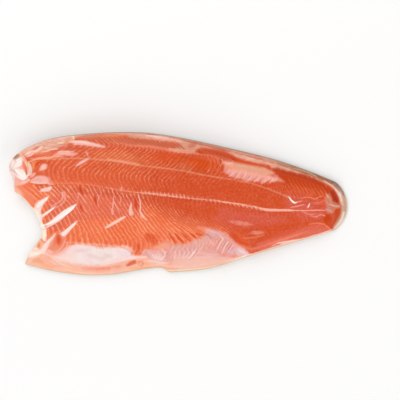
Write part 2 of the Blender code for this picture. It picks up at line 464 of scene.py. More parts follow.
LOIN_MARKS = """
tan .75 1.6 -108,70,.8 -98,70.4,2.2 -88,70,2.4 -80,69.6,1.2
tan .7 1.4 -112,73,.6 -96,75,1.2 -70,76.4,1.3 -40,77.4,1.6 -20,77,1.2
tan .55 1.4 -48,74.4,1 -40,73.6,1.6 -30,73.8,1.2
tan .55 3.6 10,62 12,70 20,73 34,70 48,67 60,64.6 52,63.6 38,66 30,64 28,60 18,59
amber .5 2 -84,71.6 -70,74 -56,75.4 -48,73.6 -58,71 -72,69.6
tan .4 3 -80,67 -40,70 8,68 10,63 -30,64 -66,66
russet .9 .6 12 4.2 -.24 -38,70.2,.5 -33.4,67.4,.9 -29,64.4,.5
russet .6 .6 5 4.2 -.1 -58,70.8,.4 -53.4,68.2,.7 -49,65.6,.4
russet .5 .5 8 3.6 .1 -96,70.4,.3 -90,68.2,.5 -84,66.4,.3
salmon .55 1.4 -44,62.6,.8 -20,62.4,1.2 0,60.4,1.4 20,58.8,1.2 32,58.4,.7
amber .7 1.4 -114,61 -113.6,66 -110,69.6 -107.6,66 -108,61.6
beige .6 .9 -112.6,62,.6 -110,62.4,1.1 -108,63.4,.5
cream .75 .7 -113,71.4,.5 -108,70.4,.8 -105,67.6,.7 -104.4,65,.4
cream .6 .8 -124,66,.4 -118,68.4,.7 -112,71.4,.5
blush .75 1.3 -108,63.4,.6 -100,63.4,2 -90,63.2,2.2 -80,61.6,1.8 -72,60.4,1.2 -66,59.4,.4
pink .5 1 -86,62,.9 -76,61,1.1 -67,59.6,.5
cream .6 .8 -104,64.6,.5 -94,64.4,.8 -84,62.8,.5
pink .6 .7 -104,61,.5 -92,61.2,.9 -80,60.4,.6
cream .8 .7 -122,61.4,.6 -118,62,1.1 -114.6,62,.5
rose .5 1 -119,59.6,.8 -112,59.8,1.4 -106,60,.8
pink .8 1.4 -123,47.8,1 -117,50.4,2.4 -109,51.6,2 -101,50.4,1.6 -96,51,.6
lavender .4 1 -116,49.6,.8 -107,49.4,1.2 -101,48.6,.8
blush .6 .6 3 6 .3 -118,51.8,.4 -113,52.8,.6
amber .2 3 -74,50,2 -56,51,4.4 -36,49.6,4.4 -20,47,2.6
russet .45 1.4 -124,56.6,.5 -112,56.6,1.4 -96,57,1.6 -86,56.4,1.2 -74,57.2,.5
orange .4 1 -110,57.4,.5 -98,57,1.2 -88,56.4,.6
pink .7 .9 -97.6,37.4,.4 -92.6,41,1.7 -87,44,1.7 -82,47,.5
blush .6 .6 -96,38.6,.3 -90,42.6,.8 -85,45.6,.4
blush .7 .6 -87,53.6,.5 -85.4,52,.9 -83.6,48.6,.4
peach .4 1.2 -62,46.6,1 -44,45.4,1.3 -28,43.4,.8
pink .85 1.2 -27,75.2,.6 -20,74.6,1.2 -8,74.2,1.4 4,72.8,1 11,71,.5
blush .6 .9 -24,75,.4 -16,74.6,.8 -6,74.4,.5
russet .65 1.4 19.6,65 21,70.6 26,71 28,67 26.4,64.4 22,64
russet .5 .9 11,67.4,.5 13,66,.9 14.4,64,.4
orange .35 3 18,48 26,55 40,56 50,54.6 53.4,49 50,44.6 42,42 28,44
flame .6 3 18,48 26,55 40,56 50,54.6 53.4,49 50,44.6 42,42 28,44
flame .35 3 -20,52 0,57 20,57 18,48 0,46
orange 1 1.2 30,60.4 36,63.4 50,63.8 60,61 72,55.6 82,51.8 76,51.4 66,53.6 56,56.6 42,58 32,58.8
flame .8 .8 72,54.2,1 82,51.6,1 92,50.2,.8 104,48.8,.6
dark .45 .45 10 3.8 -.75 30,63.4,.3 33.4,61,.45 36.6,59.4,.3
line .4 .4 9 3.8 -.8 32.4,62.8,.2 35.6,60.4,.35 38.6,58.8,.2
line .4 .6 0,59.6,.4 12,58.6,.4 26,58.2,.4 42,57.4,.4 50,56.4,.4 55,54,.4
line .4 .6 3 4.2 -.2 41,56,.3 45.6,51,.45 46,46.4,.45 43,41,.3
line .45 .5 5 4.6 -.6 14,52,.2 10,47,.4 5,42.6,.3
russet .35 .6 6 4.6 -.6 12.6,53,.2 8,47.6,.4 2,42.8,.3
peach .55 2.2 60,50.6 64,52 76,50.4 100,47.4 109,43 104,40 84,42 70,44 61,47
beige .45 2.2 70,49 84,48 100,46 107,43 100,41.4 84,43.6 72,45.6
pink .7 2 60,46 66,45 84,42.4 106,40 117,35.8 104,34.6 84,34 68,36.6 60,41
mauve .45 1.6 64,42 74,41 90,38.6 106,36.6 96,35.4 80,36 68,38
blush .6 .6 3 6.4 -.4 65,36.6,.3 67.6,38.4,.5 69.4,41.6,.3
blush .55 .6 3 7.4 -1.4 83,34.4,.3 86,36,.6 88,38.6,.3
blush .6 .5 3 4 .2 102,33.4,.3 104.6,35.6,.5 105.6,38,.2
pink .8 .6 5 5.2 -.7 68.4,38.4,.3 71,42,.5 71.4,45,.2
pink .7 .6 3 7.8 -.4 90,33.4,.4 93.6,36,.6 96.6,39.6,.3
deep .55 .8 3 6.6 -.5 69,35,.3 71.6,37.4,.7 73,39.6,.3
deep .5 .8 4 7.2 -.4 87,32.6,.3 89.6,35,.7 92.4,37.2,.3
rose .75 .8 63.6,46.6,.4 62.6,44,.9 60.4,41.6,.4
blush .4 .8 58,50.6,.4 62.6,49.6,.7 67,50.6,.4
deep .85 .8 101,28.4,.6 106,29.6,1.4 111.6,31.4,.6
deep .7 .6 90,31.6,.4 98,30.2,.5 104,29.4,.4
deep .35 .8 60,34.4,.4 90,31,.5 110,25,.5 121,21.2,.4
dark .3 .6 96,27.6,.4 108,23.8,.4 120,19.6,.3
grey .7 .8 -20,78.4,.8 10,75.4,.9 40,70.8,.9 70,65.6,1 100,60.4,.9 112,57.6,.7
beige .5 1 -60,77.4,.7 -40,78.6,1 -16,78,.8
pink .75 .5 12 4.1 -.12 -25,17,.3 -24.6,14.6,.7 -24,12.4,.3
pink .6 .5 8 4.6 -.3 24,14,.3 24.8,12.2,.6 25.4,10.6,.3
pink .6 .5 9 4.4 -.5 62,11.6,.3 63,9.8,.7 64.4,8.6,.3
salmon .5 .5 14 5.1 -.14 -23,15.4,.4 -20.6,16,.4
dark .3 .5 22 4.3 -.2 -22,12.6,.3 -20,12.2,.5 -19,11.6,.3
line .55 .5 24 4.15 -.1 -127.6,18.6,.3 -127,16,.5 -126,13.4,.3
pink .75 .5 -96,9,.3 -94,9.6,.5 -91.6,6.8,.5 -88.4,3,.5 -86,-.4,.4
pink .6 .5 -94.6,9,.4 -95,5,.5 -96.4,-1,.3
rose .5 .7 -92,4,.4 -89,-1,.8 -87,-5,.4
salmon .7 .5 -105,13,.4 -103.6,9.4,.5
pink .7 .5 -70.4,8.4,.3 -72.2,5,.5 -73.2,.4,.4
pink .8 .5 -55,9.4,.4 -55.4,3,.7 -56.2,-3,.8 -58,-9,.4
pink .75 .5 -54.6,3,.4 -52,-2,.7 -48.6,-8.4,.4
blush .5 .5 -55.4,-6,.4 -56.8,-10.6,.6
pink .65 .5 -60,-2,.3 -57,-7,.5 -54,-11.4,.3
pink .7 .5 -47,9,.4 -47.4,5,.5 -48.4,1,.4
pink .65 .6 -46.4,18.6,.9 -46.6,16,.9
pink .6 .6 -56.4,16.6,.6 -56,13.4,.5
pink .85 .6 -35.8,4,.3 -36.6,0,1 -36.6,-4,2 -36,-8,2.6
blush .7 .6 -36.8,-3,.5 -36.8,-6.6,1.2
pink .8 .5 -28,12,.4 -26.4,6,.6 -26,0,.7 -26.4,-5,.9 -24,-10,1.4 -19.6,-13.6,1
red 1 .9 -93.4,17,.8 -92,13,1.6 -89.6,9,.8
dark .3 .9 -93,16,.6 -91.6,13,1.1 -90,10,.6
red 1 .9 -76.6,8,.6 -75.4,4,1.5 -74,0,.6
dark .3 .8 -76,7,.4 -75.2,3.6,1 -74,0,.4
red .9 .8 -93.4,-2,.5 -92,-6,1.3 -90,-10,.6
dark .25 .8 -93,-3,.4 -92,-6,.8 -90.6,-9,.4
red .6 .9 -54.4,13.6,.5 -53,10.4,.8 -51.6,6.6,.4
red .9 1 -31.8,10,.5 -30.8,3,1.8 -30.2,-3.6,.7
dark .2 1 -31.6,8,.4 -30.8,3,1.1 -30.2,-2.6,.4
red .4 .8 -66,14,.5 -64.6,9.6,.8
russet .4 .6 8 13 -.7 -116,15.4,.3 -113.6,11,.6
"""

# At the collar's back corner the film gathers in folds. The white facets there, with the lavender in them, are
# painted highlights. The brown patch under the pale arc, the brown outlines of the facets and the grey strokes that
# run from the middle are painted crease shade.
HEAD_MARKS = """
salmon .7 2.5 -176,8 -168,16 -158,16 -150,10 -146,0 -150,-8 -160,0 -170,5
line .55 .5 6 4.4 -2.6 -167,15,.3 -161.6,10.6,.5 -156.6,6,.3
deep .4 .6 5 4.4 -2.8 -162,15.6,.3 -157.4,12,.6 -152.4,7.6,.3
peach .8 2 -172,10 -168,12 -162,7 -160,3 -166,3.4 -172,4
pink .9 1.4 -181,23 -177,24 -170,24 -163,19 -155,17.5 -160,14.6 -167,13 -171,11 -173,8 -180,8
peach .7 2 -182,14 -174,12 -168,10 -164,4 -172,2 -182,2
blush .95 1 -188,38 -182,44 -176,49 -168,49 -160,44 -157,38 -156,28 -154,22 -160,18.5 -168,22 -180,22 -190,26
brown .35 1.4 -181,41 -178,46 -174,49 -176,43 -177,38
beige .9 1 -177,42 -174,48.5 -166,48.5 -162,45.5 -167,42 -171,43.5 -175,40
brown .9 2.4 -175,43.6 -172.4,48.6 -167.6,48.2 -165.4,45.8 -169.6,41.8 -173,41
white .8 .9 -176,35 -175.6,40 -173,42.4 -171,38 -171.6,33
white 1 .7 -171,34.5 -168,40.6 -165,43 -161.6,43 -160.6,38 -161.6,34.5 -165,32.8 -170,32.6
white 1 .7 -171.5,31.2 -166,31.4 -160,29.4 -156,26.8 -153.8,23.6 -157,20.6 -161,19.8 -165,22 -168,26
lavender .45 1 -166,29,.8 -162,25.6,1.4 -159,23,.5
grey .9 .6 -166.8,37.4,.6 -165,39,1.1 -163.4,40.4,.6
white .95 .9 -182.6,35.6 -180,39.4 -177.2,39.6 -176.8,34 -178.6,32.4 -182,33
white 1 .6 -183,30.4,.8 -180,30.8,1.5 -177.4,29.8,1
brown .7 .4 -184,30,.3 -182,28,.45 -179,27,.45 -176.6,28.6,.4 -175.6,30.6,.3
brown .5 .4 -181.6,32.6,.3 -178.6,33.2,.3 -176.6,32,.3
grey .9 .6 -177,41.6,.8 -177.4,38,.8 -176.4,33.6,.7
brown .4 .5 -176.6,40,.3 -177.2,37,.4 -176,32.6,.4
lavender .7 .8 -174.8,41.6,.6 -174,38.4,.9 -174.4,34.6,.6
grey .9 .6 -175,31,.6 -171,29.4,.7 -167.4,26.4,.5 -165.6,24,.3
brown .4 .5 -173.6,30,.3 -170,28.4,.4 -167.6,26,.3
mauve .5 .6 -171,42.5,.5 -168,38.5,.4 -171.6,33.6,.4
pink .95 .6 -167,32.4 -163,34.6 -159.6,37 -158,33.5 -158.6,31 -162,31.2
salmon .95 .7 -160.6,41.4 -157,38.5 -155,35 -154.6,30 -156,27.4 -158.4,31 -160,34 -160.4,38
russet .35 .8 -158.6,39,.6 -156.6,34,1 -156.4,30,.5
brown .7 .6 -156.6,29.4,.4 -155,26,.7 -154.4,24,.4
blush .9 .6 -186,29 -183,27 -176,26.4 -168,26 -167,24.4 -176,24 -186,24.4
membrane .95 .8 -172.8,23.6,2.4 -172.6,18,1.8 -172.4,13,1.1 -172.2,8,.6
grey .5 .6 -175,22.6,.5 -173.9,17,.5 -172.8,11,.4
blush .55 1.6 -178,22,1 -177,17,1.8
beige .6 .5 -169.6,24,.3 -166.6,20.6,.4 -163.4,18,.3
peach .95 .7 -179,54,1 -175,50.6,1.1 -168,49.6,1 -164,47.6,1.1 -158.6,42.4,1.1 -155.6,38.6,1.1
cream .95 .7 -156,39,.9 -152.4,36.8,1.1 -149.6,33,1 -149.2,29,.9 -150.8,25.4,.8
blush 1 .8 -155.4,37.6,.9 -152.6,34,1.6 -152.2,30,1.3 -152.8,26,1.3 -154.4,23.6,.8
pink .4 .5 -151.6,35,.4 -151,30,.5 -151.8,25.8,.4
blush .7 1.4 -162,17 -156,20 -152,22.6 -151,19.6 -156,17 -161,16
rose .8 .6 -150.6,25,.4 -148.6,28.6,.5 -147,31,.5
amber .85 1.2 -149,40 -145,40.6 -144.4,34 -147.6,30.6 -149,34
salmon .55 1.2 -146.6,38,1.2 -145,34,1.6
deep .7 1.4 -144.6,36 -142,42 -136.6,42.4 -138.6,36 -141,29 -146,28
line .7 .4 4 2.8 -.4 -146,29,.2 -142.6,33.4,.4 -138.6,38.6,.3
pink .9 .8 -149.6,23.6,.9 -146.6,26.4,1.6 -144.4,28,.6
dark .4 .6 -150.6,22,.4 -147,22.8,.4 -144.6,24.2,.3
pink .85 1.2 -151,19 -147.6,22.6 -144,24.4 -138,25.4 -131,24.6 -129.5,21.5 -128,18.6 -134,18 -142,17.6
mauve .5 1.4 -146,20,.8 -141,21.4,1.6 -136,20.6,.8
lavender .55 .8 3 4 .2 -145,19.6,.4 -142.4,23,.5
blush .9 .5 -150.6,18,.5 -142,17.2,.6 -133,18,.5 -124,17,.4
dark .5 .5 -143.6,15.8,.3 -139,15.4,.5 -133,16.2,.3
blush .9 .7 -140,8.8 -137.5,11.6 -130,13.8 -125,14.6 -126.6,11 -130,9.2 -136,8.4
pink .8 .5 -136,9.6,.4 -130,11.6,.6
shell .85 .9 -139.6,30.6 -138,35.6 -135,38.6 -131,38 -130.4,33.5 -134,32
white .35 .8 -137.6,32.6 -136,36.6 -132.6,37 -132,34 -135,33
pink .8 .5 3 2.6 .3 -138,32.4,.3 -135,37,.5
beige .35 2.6 -170,53 -158,50 -148,58 -138,63 -150,63 -162,58
pink .55 2 -164,48.6 -158,53 -148,58 -140,58 -137,54 -142,49 -150,47 -158,44.6
cream .85 .7 -157.6,46.6,.6 -154.6,49.2,1.5 -151,50.6,.6
blush .8 .7 -155.6,45,.5 -151,46.4,.8 -147.4,49,.5
russet .6 .8 -150.8,53 -147,57 -142.6,57.6 -142,55.8 -146.6,52.8
cream .85 .6 -149,51.4,.5 -144.4,51.2,1.1 -141,54.8,1.4 -138.6,57,.6
beige .7 1 -140.6,49 -139,53.4 -136.4,53 -136.6,48.6
cream .85 .6 -137.6,51.2,.6 -132,52,.8 -127,54.2,.7 -119,55.2,.4
rose .6 1.2 -144,46.6 -141,50 -136,49.6 -130,50.6 -122,53 -120,50 -128,47.6 -136,46
line .7 .5 4 -1 1.7 -142,44.6,.3 -134,46.2,.5 -126,48.4,.3
russet .4 .6 -143,46.6,.3 -136,47,.6 -128,49.4,.4
rose .7 .6 -158,44,.6 -152,43.4,.9 -147,45.8,.5 -140,46.6,.4
peach .8 .5 -153,39.4,.4 -147,41.8,.7 -140,43.8,1 -130,45,1.1 -120,46.8,.7 -112,47.2,.4
line .7 .4 3 1.4 -1.8 -150.6,42.6,.3 -146,43.6,.45 -142,45.4,.3
"""

# The white streaks, and the blush and lavender streaks beside them, run up from the belly along the film's folds.
# They and the milk and lavender patch at the lower corner near x -150, y -60 are painted highlights: the film's
# glare.
COLLAR_MARKS = """
cream .9 .8 -168,4,1 -163,.4,1.3 -157,-5,1.6 -153,-10.4,1.6
milk 1 .7 -157,-6 -153,-9.6 -149,-11 -146.5,-10.6 -142,-12 -139,-15 -138.4,-20 -138.8,-25 -136,-29 -133.6,-33
  -133.4,-40 -133.8,-45 -136,-46.4 -140,-44 -146,-38 -156,-14
cream .5 1 -150,-14,.8 -146,-22,1 -143.6,-31,1 -140,-40,.8 -136,-45,.5
brown .7 .4 -141.6,-15,.4 -139,-16,.5
blush .6 .8 -142,-14,.8 -140,-20,1 -140,-26,1.2
grey .6 .5 -142.6,-32.6,.3 -138,-33.2,.5 -135.4,-32.4,.3
blush 1 .6 -148,-9.6 -145.6,-4.6 -141.6,-1.6 -136,1 -131,3.8 -128.4,5 -131.6,-.6 -135.6,-4.5 -138.4,-8.6 -140,-14
  -146,-13
white .7 .8 -144,-8,1 -140,-4.6,1.6 -134,-.6,1
beige .5 .5 -146.6,-8.6,.3 -143.6,-3.4,.4 -138,0,.3
blush .95 .6 -141,-20,.8 -137,-17.6,1.4 -130,-12.6,1.2 -122,-6.4,.4
white .95 .6 -142,-29.4,1 -134,-27.6,1 -128,-23.6,.9 -121,-18.4,1.2 -112,-12.6,2.2 -104,-7,1.6 -97,-2.4,.5
blush .95 .5 -138.6,-32.8,.6 -132,-29.6,.8 -125,-25.6,.9 -118.6,-21.4,1.2 -111,-15.6,.9
grey .85 .5 -136,-28.8,.4 -131,-26.6,.6 -126,-23.6,.4
pink .9 .6 -127,-7,.3 -120,-3,.5 -114.6,.8,.5 -112.8,4,.9 -113.4,9,.9
pink .9 .6 -122,-8.6,.3 -115.6,-4.4,.5 -111,-.4,.5 -109.8,4,.7 -111,8.6,.6
lavender .5 .5 -113.6,5.6,.4 -113,8.2,.5
rose .5 .6 -117.6,-3.4,.4 -112,.4,.5 -111.4,5,.3
blush .95 .7 -119,-36.6 -116,-40 -113,-40.8 -106.6,-33.4 -101,-26 -96,-20.6 -97,-20 -104,-25.4 -111,-31.4
salmon .85 2.6 -134,-42 -126,-38 -120,-34 -112,-38 -106,-46 -110,-54 -119,-60 -132,-59 -134,-50
pink .6 2.4 -132,-54 -124,-56 -115,-53 -108,-48 -106,-52 -113,-60 -124,-62 -132,-60
deep .7 2 -120.6,-37 -117.4,-37 -115.6,-41 -116,-46 -118.6,-49 -121.4,-46 -122,-41
red .6 1.4 -119,-40,.6 -118.4,-44,1 -119,-47,.5
pink .8 .7 -111.6,-41,.4 -112.4,-46.6,.6 -116,-52,.7 -122,-57,.5
pink .75 .7 -107.6,-45,.4 -110.2,-50,.6 -115,-56,.6 -121,-60.6,.4
rose .6 .7 -110,-42.6,.4 -111.4,-49,.8 -116.6,-55,.4
pink .6 .9 -125,-41,.4 -126.6,-47,.6 -130,-52,.5
russet .35 .9 -124,-46,.5 -124.6,-50,.8
blush .95 .9 -138,-56.4,3.4 -134.4,-50.6,3 -130,-45,1.7 -126,-40.6,1.2 -122.6,-36.2,.5
white .6 .8 -138,-55,1.8 -134,-50,1.5 -129,-43.6,.7
lavender .4 .8 -136.6,-57,.8 -133,-52,1
beige .5 .5 -134.6,-45.6,.3 -130.6,-41.6,.4 -127,-38,.3
peach .9 1 -149.6,-48.4 -142,-44.4 -137,-47 -138.6,-54 -144.4,-56 -150,-52.6
amber .95 1.4 -145.6,-49.6 -143,-47 -140.8,-49 -141.4,-53.4 -144.4,-53.8
russet .3 1.2 -144,-50,.5 -143,-52.6,.6
milk .95 1.2 -157,-64 -153,-55 -147,-53.6 -142,-56 -138,-58 -143,-60.6 -150,-64 -155,-66.4
lavender .7 1.4 -151,-58,1.2 -146,-57,1.4 -142,-57.6,.6
cream .75 .9 -141.6,-43,.5 -145.4,-48.6,1.2 -149.4,-54.6,1.5
blush .75 1.2 -137,-57,2 -134,-51,1.8 -130.6,-44.6,1
blush .6 1.2 -133.6,-58.6,1.2 -131,-56,1.2 -128,-57.6,1
beige .3 2.4 -127,-50,2.4 -123,-55,2.6 -116,-53,2
brown .4 1 -140.4,-43.4,.6 -138.4,-45,.8
"""

# The membrane and lilac washes on the pale belly patch paint the membrane there together with the film's glare over
# it.
BELLY_MARKS = """
peach .6 3 -158,-68 -140,-63 -120,-68 -96,-71 -96,-80 -160,-78
amber .45 2.2 -150,-69,1.6 -144,-68,2.8 -138,-70,1.6
amber .3 2 -134,-73,1 -126,-75,1.4
blush .4 1.4 -156,-72,1 -150,-65,1.4 -142,-62.6,.8
pink .5 1.4 -140,-65,1 -136,-68,1.8 -132,-71,1
blush .6 1.1 -139,-58.6,.8 -131,-60.6,.9 -124,-65,.8 -116,-69.6,.7 -104,-72.6,.5
blush .45 .8 -130,-66,.5 -120,-72,.6 -106,-75.6,.5 -94,-77,.3
rose .4 .8 -125,-72.6,.5 -121,-72,.6 -114,-72.6,.4
membrane .8 3 -124,-62 -113,-56 -106,-49.6 -98,-47.4 -88,-47 -98,-58 -100,-66 -112,-67 -120,-66
blush .7 1.6 -124,-62,.5 -116,-63.6,1.6 -108,-62,2 -100,-63,1.6
salmon .5 1.4 -92,-71.6,.6 -80,-71,1.4 -68,-70.4,1.5 -56,-67.6,1.2 -48,-66,.5
salmon .35 1.6 -90,-74,1 -80,-73,1.8 -70,-72.4,2 -60,-69.8,1.4
pink .5 1 -84,-75,.4 -72,-75,.7 -60,-72.6,.7 -50,-69.6,.4
rose .35 .8 -74,-71,.4 -66,-69.4,.7 -60,-68.6,.3
shell .6 1.6 -74,-68,.8 -60,-65.4,1.2 -46,-62.4,1.6 -38,-58,.8
cream .5 1.2 -100,-77.6,.4 -78,-77.6,.7 -58,-75,.5
blush .75 1.2 -70,-66.4,.8 -58,-63,1.2 -44,-58.4,1.4 -34,-55.4,1.2 -20,-53.6,1
peach .75 2 -44,-63 -36,-57.6 -26,-57 -18,-59.6 -12,-62.6 -22,-67.6 -38,-69.6
salmon .45 1.6 -41,-63,1 -34,-60,1.6 -26,-60,1.2 -18,-61.6,.6
red .75 1 -42,-64.8 -38,-60.8 -34,-58.2 -31,-57.8 -30.4,-61.4 -34.6,-63.6 -39,-65.4
russet .4 .6 -41.4,-63.6,.3 -40,-65.4,.6
rose .7 .7 -28.4,-60.4,.5 -26.6,-58.4,.6 -24,-58.8,.6 -22.6,-61.4,.6 -24.6,-64,.6 -27.4,-63,.5 -28.4,-60.4,.5
amber .5 1.2 -38,-67.6,.5 -28,-66.6,1.2 -16,-64.4,1
peach .5 1 -112,-45,.5 -100,-44.6,.8 -80,-44.4,.7 -60,-44.4,.8 -46,-44.2,.6
blush .65 .7 7 7.6 0 -99,-42,.2 -97.4,-45,.5 -96.6,-48.6,.6 -97.6,-52,.3
rose .45 .8 3 3.4 -.4 -76,-44.6,.4 -74.4,-47.6,.7
blush .7 1.6 -46,-43.6,.8 -40,-44.8,1.6 -35,-48.6,1
lilac .4 2 -98,-53,1.4 -90,-52.4,2 -84,-50.6,1.2
beige .25 2.4 -84,-57,1.6 -70,-60,2.6 -60,-56,1.8
grey .2 2 -66,-54,1.6 -58,-56,1.4
red .65 1.4 -31.4,-40 -27,-40 -26.4,-45 -29,-52 -31,-47
line .7 .5 2 4.4 .6 -36,-42,.3 -34,-47,.5 -33,-51,.3
beige .5 .7 -8,-63,.3 10,-64,.5 30,-60.6,.5 50,-56.6,.5 66,-52,.4
cream .8 .8 -30,-69.6,.6 -10,-66.4,.6 8,-66.4,1 30,-63,.8 50,-58.6,.8 62,-55.4,.9 72,-51,1
rose .5 .7 4 7.6 1.6 13,-63,.4 15.4,-62.6,.6
blush .4 1.2 -8,-60.4,1.2 6,-61.6,1.6 24,-60.8,1.2 44,-56,1
"""

# The white and lavender dabs among these marks of the belly are painted glints of the film.
VEIL_MARKS = """
red .6 1.6 -22,-29 -18,-27 -13,-29 -10,-31 -8,-36 -9,-40 -14,-38 -21,-36
line .6 .7 4 3.4 -.2 -21,-33,.3 -19.6,-38,.4 -18.6,-43,.5
salmon .6 2 -24,-43 -10,-41 -1,-33 5,-34.6 8,-38 6,-42 -6,-45 -18,-47
peach .35 1.6 -12,-43 -2,-37 5,-37 6,-41 -5,-45
salmon .5 1 -5,-33,.5 -1,-34.6,1.2 4,-36,.6
line .85 .6 -4,-24,.3 1,-29,.5 5,-34,.4
line .9 .6 2,-24,.4 6,-30,.6 10,-36.4,.5
line 1 .6 8,-24,.4 12.6,-30.6,.7 17.6,-36.6,.6
line 1 .6 14,-22.6,.4 19.6,-28,.7 26.4,-34.4,.6
line .9 .6 20,-21,.4 25.6,-25,.6 31.6,-29.6,.5
line .8 .6 26,-20,.4 31,-23.4,.5 36,-27,.4
red .75 .8 5,-26.6,.8 8,-31,1.5 12,-35.6,.7
red .75 .8 11.4,-25.6,.8 15,-30.6,1.6 20.6,-34.6,.9
red .75 .8 17.6,-24.6,.7 22.4,-28.6,1.5 27,-32.2,.9
red .8 .8 27.4,-24.6,.7 31.4,-27,1.5 33,-29,.7
red .8 .7 33.6,-24,.6 37.6,-25.4,1.2 40,-25,.5
amber .6 .6 4,-36.4,.4 10,-38,.6 16,-37.8,.6 22,-36.4,.5 28,-34,.5 33,-30.6,.4 38,-28.4,.4 42,-26.4,.3
beige .5 .7 7,-38.4,.6 12,-39.6,.8 15,-38.6,.5
mauve .65 .7 5 2.8 -.4 -20,-45.6,.4 -16.6,-51,.7 -13.6,-56,.3
blush .85 .6 6 2.7 -.1 -20,-45.4,.3 -16.4,-50.6,.6 -12.4,-56,.4
white .6 .5 3 3 .2 -13,-50,.3 -10.6,-54,.6 -8.6,-57.4,.3
rose .3 .8 3 3.2 .4 -17,-47,.4 -14,-51.6,.6
blush .85 .6 -3,-43.6,.4 .6,-47,.8 .4,-51,.8 -3,-55.4,.5
mauve .55 .8 3,-44,.4 4.4,-48,.9 3,-53,.5
pink .7 .7 4,-42,.4 7.6,-46,.7 7.6,-50,.6 5,-54.6,.4
grey .4 1.4 1.4,-51,1 0,-55,1
blush .85 .7 -17,-57,.5 -8,-58.2,.8 0,-58.6,.7 6,-57.4,.3
shell .7 2.4 10,-50 24,-48 34,-50 40,-52 26,-57 10,-58
blush .65 .8 5 4.6 1 11,-44,.3 12.4,-48,.7 10.4,-53,.4
mauve .5 .8 4 4.8 1.2 13.6,-43.4,.3 14.8,-47.4,.6 13,-51,.3
lavender .7 .6 23,-40.4,.3 26,-43.4,.6 25,-47.4,.6 20.6,-51.4,.4
blush .9 .6 34,-40,.4 32,-44.4,.8 29,-48.4,.8 25.6,-51.4,.4
lavender .6 .7 40,-38,.3 37,-43.6,.7 32,-49.6,.4
beige .45 1 4 3.6 .4 31.6,-31.4,.4 32.4,-37,.8
shell .6 .6 4 3.6 .6 33.4,-30.6,.3 34.4,-36,.6 33,-42,.3
salmon .7 .9 45.6,-35,.6 47.6,-37.4,1 49.4,-39,.4
blush .35 1.6 38,-44,1 48,-45,1.4 58,-44.6,.8
pink .3 1.8 34,-18,.8 40,-18.6,1.4 44,-20.6,1
line .6 .5 4 3 -.3 33,-15.6,.2 37,-17.6,.5 41,-20.4,.3
lavender .6 .9 46,-19.4,.4 50,-20.6,1.2 54,-21.6,.8
lavender .5 .7 56,-21.8,.5 59.4,-24,.7
lilac .5 1.2 49,-22.6,.8 53,-23.6,1
grey .5 .8 50,-22.6,.4 54,-23,.6 57,-24,.3
white .6 .5 59.4,-24.6,.3 61.4,-26.4,.6 62.6,-28,.4
brown .6 .6 42.6,-24.8,.4 46,-24.2,.6 49,-26.4,.6 49.6,-28.6,.3
mauve .6 .9 3 3.6 -1 45,-28,.4 48.4,-26.4,.7 52,-27.4,.3
pink .7 .7 3 2.6 -2.6 44.6,-27.6,.3 48.4,-29.6,.7 51.6,-32.4,.4
rose .6 .7 3 5.3 -2.7 60.6,-26.4,.3 58.6,-30.4,.6 55.6,-34.4,.6 53.8,-38,.3
mauve .75 .6 3 5.1 -2.6 63.4,-29,.3 61,-33,.6 59.4,-37,.4
blush .85 .5 2 5.6 -2.5 62.4,-27.6,.4 59.4,-32,.55 57,-37.6,.5 55.4,-42,.3
pink .8 .5 3 4.9 -2.7 65.4,-29.4,.3 62.6,-33.4,.5 60.8,-36.4,.5 59.4,-40,.2
blush .6 .5 2 5.2 -2.8 68,-30,.3 65,-34.4,.5 63,-38,.3
brown .3 .5 3 2.8 -1.4 66,-28.6,.3 63.6,-32.6,.5 62,-35,.2
pink .6 .6 3 3.1 .4 50,-30,.3 48.6,-34,.5 46,-38,.4 45,-42,.2
mauve .4 .7 3 3.3 .3 52,-31,.3 50,-35,.6 48,-40,.4
rose .35 .9 54,-39.4,.6 60,-43,1 66,-44.4,.6
lilac .8 1.2 68,-40.6,1 72,-40,1.8 75,-37.6,1
lavender .8 1.6 75.6,-36.4 79,-34.6 84,-36 88,-40 89,-42 83,-43.6 78,-43.6 76,-40
white .4 .8 79,-38.4,.5 82.4,-38.8,.9 85,-40.4,.4
grey .45 .6 76.4,-37.4,.3 79,-41.4,.5 83,-42.6,.3
pink .6 .8 74,-33,.4 78.6,-34.4,.6 84,-36.4,.3
shell .85 2.2 24,-54 38,-49 50,-47 64,-46.4 76,-46 82,-45 72,-50 50,-57 30,-60 14,-61 16,-57
pink .15 2 36,-53,1.6 52,-50.6,2 68,-48,1.2
blush .35 1.6 34,-49,1.2 42,-48,1.4 50,-47.4,1
salmon .6 .9 69,-45.4,.6 74,-44.6,1.4 77,-43.4,.6
salmon .5 .8 61,-44.6,.5 65,-45,1
milk .95 .7 60,-57,.5 68,-53.4,.7 76,-49,1.1 84,-45,1.3 92,-42,1.2
red .7 1.6 67,-21 72,-19.8 76,-22 81,-27 88,-30.6 88,-32.4 80,-31.8 74,-28
salmon .6 1 84,-25,.5 94,-23.4,.9 104,-20,.4
salmon .6 1.4 84,-33.6,.8 92,-36,1.6 98,-34,.8
"""
